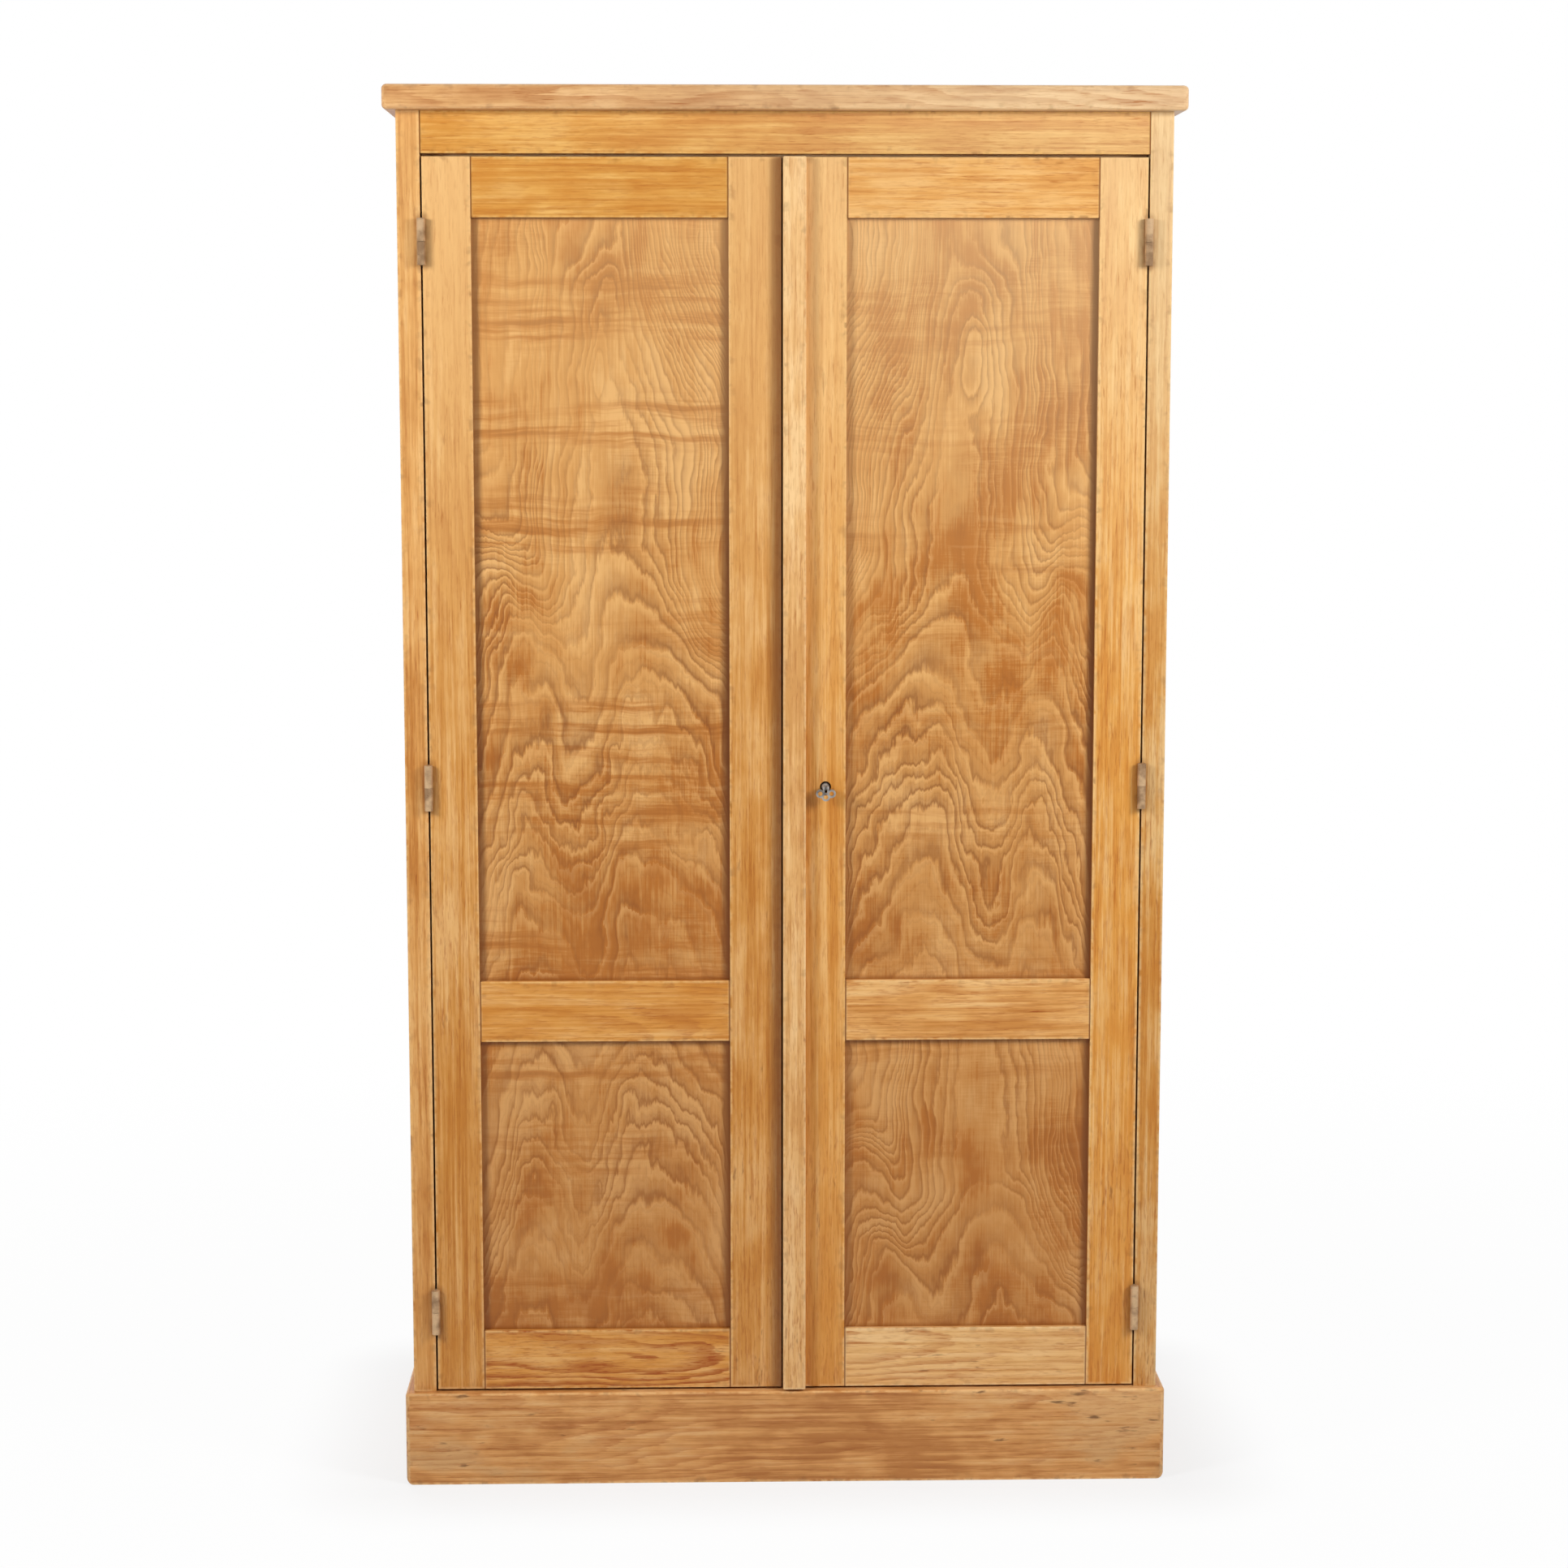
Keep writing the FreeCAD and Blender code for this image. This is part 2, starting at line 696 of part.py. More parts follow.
# Key: shank, collar and bit, with a tang and cross pin that carry the folding bow
def key():
    shank_front = key_pivot_y + key_ear_radius + key_tang_gap
    shank_end = lock_case_rear - key_end_gap
    along = Vector(0, 1, 0)
    shank = rod(Vector(key_x, shank_front, key_z), along, key_shank_radius, shank_end - shank_front)
    collar_front = face - key_collar_proud
    collar = Part.makeCone(
        key_collar_radius - key_collar_taper, key_collar_radius, key_collar_length,
        Vector(key_x, collar_front, key_z), along,
    )
    bit = block(
        centred(key_x, key_bit_thickness), grown((lock_bolt_front, lock_bolt_rear), -lock_clearance),
        (key_z, key_z - key_bit_reach),
    )
    tang_x = centred(key_x, key_tang_thickness)
    tang = block(tang_x, (key_pivot_y, shank_front), centred(key_z, 2 * key_tang_radius))
    pivot = Vector(min(tang_x), key_pivot_y, key_z)
    tang_end = rod(pivot, Vector(1, 0, 0), key_tang_radius, key_tang_thickness)
    pin_length = key_tang_thickness + 2 * (key_tang_gap + key_ear_thickness)
    pin_start = Vector(key_x - pin_length / 2, key_pivot_y, key_z)
    pin = rod(pin_start, Vector(1, 0, 0), key_pivot_radius, pin_length)
    return shank.fuse([collar, bit, tang, tang_end, pin])


def key_bow():
    """A flat bow of three pierced lobes that hangs from two ears on the cross pin."""
    along = Vector(0, 1, 0)
    lobes = []
    holes = []
    for spread, drop in (
        (-key_side_lobe_spread, key_side_lobe_drop),
        (key_side_lobe_spread, key_side_lobe_drop),
        (0, key_low_lobe_drop),
    ):
        centre = Vector(key_x + spread, key_bow_front, key_z - drop)
        lobes.append(rod(centre, along, key_lobe_radius, key_bow_thickness))
        holes.append(rod(centre, along, key_lobe_hole_radius, key_bow_thickness))
    slot_x = centred(key_x, key_tang_thickness + 2 * key_tang_gap)
    neck_x = grown(slot_x, key_ear_thickness)
    bow_y = (key_bow_front, key_bow_front + key_bow_thickness)
    neck = block(neck_x, bow_y, (key_z, key_z - key_low_lobe_drop))
    pivot = Vector(min(neck_x), key_pivot_y, key_z)
    across = Vector(1, 0, 0)
    ears = rod(pivot, across, key_ear_radius, max(neck_x) - min(neck_x))
    slot_reach = key_ear_radius + key_shank_radius
    slot = block(slot_x, grown(bow_y, key_ear_radius), grown((key_z, key_z), slot_reach))
    pin_hole = rod(pivot, across, key_pivot_radius + key_clearance, max(neck_x) - min(neck_x))
    return neck.fuse(lobes + [ears]).cut(holes + [slot, pin_hole])


def build():
    nodes = {"top_board": [top_board()], "plinth_corner_blocks": corner_blocks()}
    for name, solid in plinth().items():
        nodes[name] = [solid]
    frame = carcass_frame()

    guides = []
    keepers = []
    for bolt, rail, mouth, direction in (
        ("top_bolt", "top_stop_rail", top_stop_bottom, 1),
        ("bottom_bolt", "sill_rail", sill_top, -1),
    ):
        guide, bar, keeper, socket = slide_bolt(mouth, direction)
        guides.append(guide)
        keepers.append(keeper)
        nodes[bolt] = [bar]
        frame[rail] = frame[rail].cut(socket)
    nodes["bolt_guides"] = guides
    nodes["bolt_keepers"] = keepers

    frame.update(door("left", -1, left_meeting_edge, left_meeting_stile_width))
    frame.update(door("right", 1, right_meeting_edge, right_meeting_stile_width))
    keyhole = key_passage(keyhole_radius, (face, door_back))
    frame["right_meeting_stile"] = frame["right_meeting_stile"].cut(keyhole)
    for name, solid in frame.items():
        nodes[name] = [solid]

    nodes.update(interior())
    nodes.update(hinges())
    nodes.update(lock())
    nodes["lock_strike_plate"] = [strike_plate()]
    nodes["cover_strip"] = [cover_strip()]
    nodes["key"] = [key()]
    nodes["key_bow"] = [key_bow()]
    return nodes


os.makedirs("parts", exist_ok=True)
for node, pieces in build().items():
    save(node, pieces)
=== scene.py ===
import json
import math
import random

import bpy
from mathutils import Matrix, Vector


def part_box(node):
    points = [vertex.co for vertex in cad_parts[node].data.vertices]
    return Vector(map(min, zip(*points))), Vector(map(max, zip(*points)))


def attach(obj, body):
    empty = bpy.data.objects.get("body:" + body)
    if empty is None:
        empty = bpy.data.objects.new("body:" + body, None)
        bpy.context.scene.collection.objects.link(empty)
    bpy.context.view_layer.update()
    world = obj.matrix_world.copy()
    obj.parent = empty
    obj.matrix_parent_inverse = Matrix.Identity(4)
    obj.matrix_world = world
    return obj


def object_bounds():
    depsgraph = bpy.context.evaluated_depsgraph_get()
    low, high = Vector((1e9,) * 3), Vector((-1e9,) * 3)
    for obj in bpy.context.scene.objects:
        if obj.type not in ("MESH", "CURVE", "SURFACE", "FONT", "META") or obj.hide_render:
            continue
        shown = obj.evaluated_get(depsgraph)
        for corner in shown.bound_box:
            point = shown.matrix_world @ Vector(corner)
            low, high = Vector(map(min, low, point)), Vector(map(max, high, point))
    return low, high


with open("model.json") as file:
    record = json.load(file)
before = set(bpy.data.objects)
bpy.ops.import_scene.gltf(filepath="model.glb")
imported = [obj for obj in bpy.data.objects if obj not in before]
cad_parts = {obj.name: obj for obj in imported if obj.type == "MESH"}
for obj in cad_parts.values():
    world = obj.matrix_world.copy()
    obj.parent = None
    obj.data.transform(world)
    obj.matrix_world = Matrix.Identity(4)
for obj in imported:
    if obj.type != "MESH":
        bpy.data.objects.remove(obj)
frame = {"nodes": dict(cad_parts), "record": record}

# A two-door oak wardrobe: finishes, small ironmongery, studio and camera, in metres.

cad_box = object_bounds()
nodes = frame["nodes"]
slot_of = {row["node"]: row["material_slot"] for row in frame["record"]["subparts"]}

# Camera fitted to the vanishing points and corners of the photograph
PHOTO_SIDE_PX = 1932
FOCAL_LENGTH_PX = 4009.6
SENSOR_MM = 36.0
CAMERA_PLACE = (-0.1118, -4.487, 1.4934)
CAMERA_PITCH_DEGREES = 90.0 - 7.317
CAMERA_TURN_DEGREES = -1.473

# Wood tones as sRGB bytes: pores and growth lines, amber clouds, ground, pale clouds
TONES = {
    "honey": ((124, 72, 30), (186, 122, 54), (211, 154, 86), (232, 188, 126)),
    "pale": ((132, 82, 40), (203, 148, 84), (222, 173, 111), (240, 204, 150)),
    "topside": ((122, 76, 40), (186, 130, 74), (205, 154, 97), (226, 184, 132)),
    "golden": ((122, 68, 24), (198, 130, 50), (211, 150, 74), (231, 186, 122)),
    "gold": ((118, 66, 20), (192, 124, 42), (205, 146, 66), (226, 180, 106)),
    "deep_gold": ((118, 66, 23), (184, 118, 42), (201, 142, 70), (228, 183, 122)),
    "bright_gold": ((124, 70, 26), (201, 129, 46), (213, 151, 70), (233, 194, 134)),
    "straw": ((124, 72, 30), (196, 132, 62), (219, 163, 94), (238, 197, 136)),
    "tan": ((120, 68, 26), (185, 119, 43), (199, 142, 69), (223, 189, 134)),
    "brown": ((88, 50, 22), (179, 119, 61), (219, 162, 97), (238, 196, 138)),
    "blond": ((140, 92, 50), (211, 158, 92), (227, 180, 117), (242, 207, 153)),
    "pine": ((132, 88, 50), (196, 150, 100), (210, 172, 124), (226, 196, 154)),
    "veneer": ((118, 64, 26), (176, 107, 39), (201, 145, 80), (222, 173, 110)),
    "side_veneer": ((140, 86, 42), (192, 132, 68), (208, 154, 94), (222, 176, 118)),
    "back_veneer": ((146, 102, 62), (194, 152, 104), (206, 168, 120), (220, 188, 144)),
}
# Dust and painted shade along the frame of a panel
RIM_DUST_AND_SHADE_TONE = (104, 56, 18)
# Near-white of the painted sheen
SHEEN_TONE = (236, 222, 186)
SLOT_TONES = {"oak_frame": "honey", "oak_top": "topside", "oak_plinth": "brown", "inner_pine": "pine"}
BOARD_TONES = {"frieze_rail": "gold", "left_top_rail": "gold", "left_middle_rail": "golden",
               "left_bottom_rail": "golden", "left_hinge_stile": "deep_gold",
               "left_meeting_stile": "deep_gold", "cover_strip": "pale",
               "right_top_rail": "golden", "right_middle_rail": "straw", "right_bottom_rail": "blond",
               "right_meeting_stile": "golden", "right_hinge_stile": "bright_gold",
               "right_front_post": "tan"}


def linear(tone):
    """An sRGB byte triple as a linear colour with full alpha."""
    values = [byte / 255.0 for byte in tone]
    curve = [v / 12.92 if v <= 0.04045 else ((v + 0.055) / 1.055) ** 2.4 for v in values]
    return (*curve, 1.0)


def loose_boxes(name):
    """Boxes of the separate solids that make up one CAD node."""
    mesh = nodes[name].data
    corners = {}
    corner_of = []
    for vertex in mesh.vertices:
        key = tuple(round(value, 5) for value in vertex.co)
        corner_of.append(corners.setdefault(key, len(corners)))
    owner = list(range(len(corners)))

    def root(index):
        while owner[index] != index:
            index = owner[index]
        return index

    for face in mesh.polygons:
        first = root(corner_of[face.vertices[0]])
        for vertex in face.vertices:
            owner[root(corner_of[vertex])] = first
    solids = {}
    for place, index in corners.items():
        solids.setdefault(root(index), []).append(Vector(place))
    boxes = []
    for places in solids.values():
        low = Vector([min(place[i] for place in places) for i in range(3)])
        high = Vector([max(place[i] for place in places) for i in range(3)])
        boxes.append((low, high))
    return boxes


# Arithmetic on shader sockets


class Field:
    """A value that varies over a surface: an output of a node, with plain arithmetic."""

    def __init__(self, tree, socket):
        self.tree = tree
        self.socket = socket

    def math(self, operation, *others):
        node = self.tree.nodes.new("ShaderNodeMath")
        node.operation = operation
        for slot, value in zip(node.inputs, (self, *others)):
            feed(slot, value)
        return Field(self.tree, node.outputs[0])

    def vector(self, operation, *others):
        node = self.tree.nodes.new("ShaderNodeVectorMath")
        node.operation = operation
        for slot, value in zip(node.inputs, (self, *others)):
            feed(slot, value)
        scalar = operation in ("DOT_PRODUCT", "LENGTH")
        return Field(self.tree, node.outputs["Value" if scalar else "Vector"])

    def scaled(self, factor):
        node = self.tree.nodes.new("ShaderNodeVectorMath")
        node.operation = "SCALE"
        feed(node.inputs[0], self)
        feed(node.inputs["Scale"], factor)
        return Field(self.tree, node.outputs["Vector"])

    def __add__(self, other):
        return self.math("ADD", other)

    def __sub__(self, other):
        return self.math("SUBTRACT", other)

    def __mul__(self, other):
        return self.math("MULTIPLY", other)

    def __truediv__(self, other):
        return self.math("DIVIDE", other)

    def ramp(self, low, high, at_low=0.0, at_high=1.0):
        """The value carried smoothly from at_low to at_high between two limits."""
        node = self.tree.nodes.new("ShaderNodeMapRange")
        node.interpolation_type = "SMOOTHSTEP"
        for label, value in (("Value", self), ("From Min", low), ("From Max", high),
                             ("To Min", at_low), ("To Max", at_high)):
            feed(node.inputs[label], value)
        return Field(self.tree, node.outputs["Result"])

    def curve(self, points):
        """The value read off a smooth curve through points whose ends lie at 0 and 1."""
        node = self.tree.nodes.new("ShaderNodeFloatCurve")
        feed(node.inputs["Value"], self)
        line = node.mapping.curves[0]
        line.points[0].location = points[0]
        line.points[1].location = points[-1]
        for place in points[1:-1]:
            line.points.new(*place)
        node.mapping.update()
        return Field(self.tree, node.outputs["Value"])


def feed(slot, value):
    """Link a field to an input, or set a constant on it."""
    if isinstance(value, Field):
        value.tree.links.new(value.socket, slot)
    else:
        slot.default_value = value


def split(place):
    """The three parts of a vector field."""
    node = place.tree.nodes.new("ShaderNodeSeparateXYZ")
    feed(node.inputs[0], place)
    return [Field(place.tree, out) for out in node.outputs]


def joined(x, y, z):
    """A vector field from its three parts, the first of which is a field."""
    node = x.tree.nodes.new("ShaderNodeCombineXYZ")
    for slot, value in zip(node.inputs, (x, y, z)):
        feed(slot, value)
    return Field(x.tree, node.outputs[0])


def noise(place, seed, detail=2.0, roughness=0.5):
    """Fractal noise about 0.5 at one cell per unit of place; seed picks one of many patterns."""
    node = place.tree.nodes.new("ShaderNodeTexNoise")
    node.noise_dimensions = "4D"
    feed(node.inputs["Vector"], place)
    feed(node.inputs["W"], seed)
    node.inputs["Scale"].default_value = 1.0
    node.inputs["Detail"].default_value = detail
    node.inputs["Roughness"].default_value = roughness
    return Field(place.tree, node.outputs[0])


def mixed(factor, first, second, kind="MIX"):
    """Two colours mixed by a field, either plainly or by another kind of blend."""
    node = factor.tree.nodes.new("ShaderNodeMix")
    node.data_type = "RGBA"
    node.blend_type = kind
    feed(node.inputs[0], factor)
    feed(node.inputs[6], first)
    feed(node.inputs[7], second)
    return Field(factor.tree, node.outputs[2])


def new_group(name, inputs):
    """A node group that turns a place on the surface into colour, roughness and relief."""
    tree = bpy.data.node_groups.new(name, "ShaderNodeTree")
    for label, kind in inputs:
        tree.interface.new_socket(label, in_out="INPUT", socket_type="NodeSocket" + kind)
    for label, kind in (("Colour", "Color"), ("Roughness", "Float"), ("Relief", "Float")):
        tree.interface.new_socket(label, in_out="OUTPUT", socket_type="NodeSocket" + kind)
    source = tree.nodes.new("NodeGroupInput")
    given = {label: Field(tree, source.outputs[label]) for label, kind in inputs}
    return tree, given


def close_group(tree, colour, roughness, relief):
    sink = tree.nodes.new("NodeGroupOutput")
    for slot, value in zip(sink.inputs, (colour, roughness, relief)):
        feed(slot, value)


# Wood: noise scales are in cells per metre, and numbers added to a seed keep patterns apart
TRUNK_TAPER = 0.035
WOOD_ROUGHNESS = 0.44
# How far the pores and growth lines dim red, green and blue
GRAIN_TINT = (0.52, 0.24, 0.07, 1.0)
# Places of the hinges, the same on both sides and evenly spaced in height
HINGES = [(low + high) / 2.0 for low, high in loose_boxes("hinge_pins")]
HINGE_LEVELS = sorted({round(place.z, 4) for place in HINGES})
HINGE_PITCH = HINGE_LEVELS[1] - HINGE_LEVELS[0]
HINGE_ACROSS = abs(HINGES[0].x)
HINGE_HALF_HEIGHT = 0.028
# Where the grime and painted shade round the hinges begin and end
HINGE_DARKENING_START = 0.003
HINGE_DARKENING_REACH = 0.013
# The grime and painted shade round the hinges lie on the front only, and fade out between these places
# along Y
FRONT_ENDS = (cad_box[0][1] + 0.05, cad_box[0][1] + 0.06)
CASE_TOP = cad_box[1][2]
# The painted sheen starts at this height, and grows between these places along X
SHEEN_START = 1.15
SHEEN_ENDS = (-0.45, 0.45)


def stretched(place, along, across_scale, along_scale):
    """The place scaled so that noise on it forms streaks along the grain."""
    reach = place.vector("DOT_PRODUCT", along) * (along_scale - across_scale)
    return place.scaled(across_scale).vector("ADD", along.scaled(reach))


def edge_distance(place, low, high):
    """How far a point on a squared board lies from its nearest arris."""
    gap_low = place.vector("SUBTRACT", low)
    gap_high = high.vector("SUBTRACT", place)
    x, y, z = split(gap_low.vector("MINIMUM", gap_high))
    smaller = x.math("MINIMUM", y)
    larger = x.math("MAXIMUM", y)
    return smaller.math("MAXIMUM", larger.math("MINIMUM", z))


def painted_sheen(x, height):
    """How far a painted sheen drains the colour: most at the upper right."""
    return height.ramp(SHEEN_START, CASE_TOP) * x.ramp(*SHEEN_ENDS)


def hinge_grime_and_shade(x, y, height):
    """Oil and finger marks, with painted shade, on the front of the wood round the hinges."""
    turn = ((height - HINGE_LEVELS[0]) / HINGE_PITCH + 0.5).math("FRACT") - 0.5
    beyond = (turn.math("ABSOLUTE") * HINGE_PITCH - HINGE_HALF_HEIGHT).math("MAXIMUM", 0.0)
    aside = x.math("ABSOLUTE") - HINGE_ACROSS
    reach = (aside * aside + beyond * beyond).math("SQRT")
    return reach.ramp(HINGE_DARKENING_START, HINGE_DARKENING_REACH, 1.0, 0.0) * y.ramp(*FRONT_ENDS, 1.0, 0.0)


def solid_wood_group():
    """Sawn boards: growth lines about a pith outside the board, pores, clouds and wear, with painted shade,
    shadow, highlight and sheen.
    """
    tree, given = new_group("solid_wood", (
        ("Place", "Vector"), ("Along", "Vector"), ("Pith", "Vector"), ("Low", "Vector"),
        ("High", "Vector"), ("Seed", "Float"), ("Ring", "Float"), ("Sway", "Float"),
        ("Figure", "Float"), ("Flecks", "Float"), ("Clouds", "Float"), ("Joint", "Float"), ("Strip Shadow", "Float"),
        ("Top Sheen", "Float"), ("Sheen", "Float"), ("Pore", "Color"), ("Amber", "Color"),
        ("Ground", "Color"), ("Pale", "Color")))
    place = given["Place"]
    along = given["Along"]
    seed = given["Seed"]
    x, y, height = split(place)

    # Growth lines: cones about the pith, bent by slow noise and frayed by the grain
    offset = place.vector("SUBTRACT", given["Pith"])
    reach = offset.vector("DOT_PRODUCT", along)
    radius = offset.vector("SUBTRACT", along.scaled(reach)).vector("LENGTH")
    sway = noise(stretched(place, along, 12.0, 2.6), seed, 3.0) - 0.5
    grain = noise(stretched(place, along, 360.0, 8.0), seed + 7.0, 3.0, 0.65) - 0.5
    level = (radius + reach * TRUNK_TAPER + sway * given["Sway"]) / given["Ring"] + grain * 0.6
    ring = level.math("FRACT")
    growth = ring.ramp(0.25, 0.92) * ring.ramp(0.94, 1.0, 1.0, 0.0)
    vigour = noise(stretched(place, along, 14.0, 5.0), seed + 13.0, 2.0)
    growth = growth * vigour.ramp(0.38, 0.6, 0.35, 1.0)

    streak = noise(stretched(place, along, 140.0, 2.5), seed + 47.0, 2.0, 0.55) - 0.5
    cloud = noise(stretched(place, along, 22.0, 11.0), seed + 17.0, 2.0, 0.5) - 0.5
    stain = noise(stretched(place, along, 7.0, 3.0), seed + 19.0, 2.0) - 0.5
    mottle = noise(stretched(place, along, 65.0, 34.0), seed + 21.0, 2.0, 0.5) - 0.5
    fleck = noise(stretched(place, along, 460.0, 30.0), seed + 23.0, 2.0)
    pores = fleck.ramp(0.6, 0.68) * (growth * 0.5 + 0.5) * (stain - cloud).ramp(-0.15, 0.2, 0.3, 1.0)
    dash = noise(stretched(place, along, 520.0, 56.0), seed + 41.0, 2.0, 0.6)
    dashes = dash.ramp(0.5, 0.66) * (stain * 1.5 + mottle).ramp(-0.4, 0.3, 0.35, 1.0)

    clouds = (cloud * 1.9 + stain * 2.2 + mottle * 0.8) * given["Clouds"]
    tone = clouds + grain * 2.6 + streak * 2.2 + 0.5
    colour = mixed(tone.math("MULTIPLY_ADD", 1.4, 0.25).math("MINIMUM", 1.0).math("MAXIMUM", 0.0),
                   given["Amber"], given["Ground"])
    colour = mixed((tone - 0.5).math("MINIMUM", 0.7).math("MAXIMUM", 0.0), colour, given["Pale"])

    # Painted light: browner lower down, where less light falls; paler higher up and drained at the upper
    # right under a painted sheen
    colour = mixed(height.ramp(0.0, 1.0, 0.3, 0.0), colour, given["Amber"])
    colour = mixed(height.ramp(0.9, CASE_TOP) * given["Top Sheen"], colour, given["Pale"])
    colour = mixed(painted_sheen(x, height) * given["Sheen"], colour, linear(SHEEN_TONE))

    # Growth lines, pores and fine threads of grain
    threads = (grain * -1.0 - streak * 0.5).ramp(0.02, 0.3) * 0.2
    flecks = (pores * 0.65 + dashes * height.ramp(0.0, 1.6, 0.54, 0.3)) * given["Flecks"]
    colour = mixed(growth * given["Figure"] * 0.44 + flecks + threads, colour, GRAIN_TINT, "MULTIPLY")

    # Arrises paler by rubbed wear and a painted highlight, with grime left beside them, and dark lines
    # where boards meet
    edge = edge_distance(place, given["Low"], given["High"])
    rub = noise(place.scaled(70.0), seed + 29.0, 2.0)
    colour = mixed(edge.ramp(0.0, 0.0045, 0.75, 0.0) * rub.ramp(0.32, 0.56), colour, given["Pale"])
    grime = edge.ramp(0.001, 0.014, 0.32, 0.0) * rub.ramp(0.52, 0.72)
    colour = mixed(grime, colour, given["Pore"])
    nick = noise(place.scaled(48.0), seed + 37.0, 3.0)
    colour = mixed(edge.ramp(0.001, 0.005, 0.45, 0.0) * nick.ramp(0.63, 0.72), colour, given["Pore"])
    before = place.vector("SUBTRACT", given["Low"]).vector("DOT_PRODUCT", along)
    beyond = given["High"].vector("SUBTRACT", place).vector("DOT_PRODUCT", along)
    end = before.math("MINIMUM", beyond)
    colour = mixed(end.ramp(0.0008, 0.003, 0.95, 0.0) * given["Joint"], colour, given["Pore"])

    # Grime and painted shade round the hinges
    colour = mixed(hinge_grime_and_shade(x, y, height) * rub.ramp(0.35, 0.6, 0.35, 0.65), colour, given["Pore"])

    # Painted shadow cast by a raised strip
    strip_shadow = (split(given["High"])[0] - x).ramp(0.0, 0.02, 1.0, 0.0)
    colour = mixed(strip_shadow * given["Strip Shadow"], colour, given["Pore"])

    # Scuffs and dark marks, most near the floor
    scuffs = height.ramp(0.0, 0.16, 0.22, 0.0) * (cloud + stain).ramp(-0.02, 0.2)
    colour = mixed(scuffs, colour, given["Pore"])
    bruise = noise(stretched(place, along, 150.0, 26.0), seed + 43.0, 3.0, 0.6)
    bruises = bruise.ramp(0.58, 0.7) * (stain + mottle).ramp(0.02, 0.2) * height.ramp(0.0, 1.2, 0.8, 0.2)
    colour = mixed(bruises, colour, given["Pore"])

    relief = grain * 0.4 - pores * 0.8 - dashes * 0.3 - growth * 0.2
    roughness = grain * 0.3 + pores * 0.2 + cloud * 0.25 + WOOD_ROUGHNESS
    close_group(tree, colour, roughness, relief)
    return tree


# Figure of the veneer across a sheet: how far each growth line hangs below its crown,
# in the upper part (long upright lines about a calm centre) and in the lower part (arches)
UPPER_HANG = ((0.0, 1.0), (0.2, 0.62), (0.4, 0.1), (0.55, 0.0), (0.72, 0.1), (0.86, 0.42), (1.0, 0.85))
LOWER_HANG = ((0.0, 0.95), (0.1, 0.5), (0.2, 0.2), (0.41, 0.5), (0.63, 0.0), (0.86, 0.2), (1.0, 0.7))
UPPER_HANG_DEPTH = 0.36
LOWER_HANG_DEPTH = 0.14
VENEER_RING = 0.023
VENEER_ROUGHNESS = 0.45
ARCHES_START = 0.43
ARCHES_FADE = 0.2
# Place and size of the eye in the figure, across as shares of the sheet and down in metres
EYE_ACROSS = 0.5
EYE_HALF_WIDTH = 0.06
EYE_DROP = 0.18
EYE_HALF_HEIGHT = 0.045
# Where cross ripple gathers down the sheet, as shares of its span
RIPPLE_PLACES = ((0.0, 0.1), (0.05, 0.1), (0.1, 0.9), (0.16, 0.7), (0.2, 0.1), (0.28, 0.7), (0.33, 0.1),
                 (0.42, 0.75), (0.49, 0.1), (0.57, 0.6), (0.62, 0.1), (0.69, 0.7), (0.74, 0.2),
                 (0.79, 0.7), (0.86, 0.2), (1.0, 0.5))
RIPPLE_SPAN = 0.95
# Width of the dust and painted shade along the uprights and along the rails
SIDE_RIM = 0.015
END_RIM = 0.007


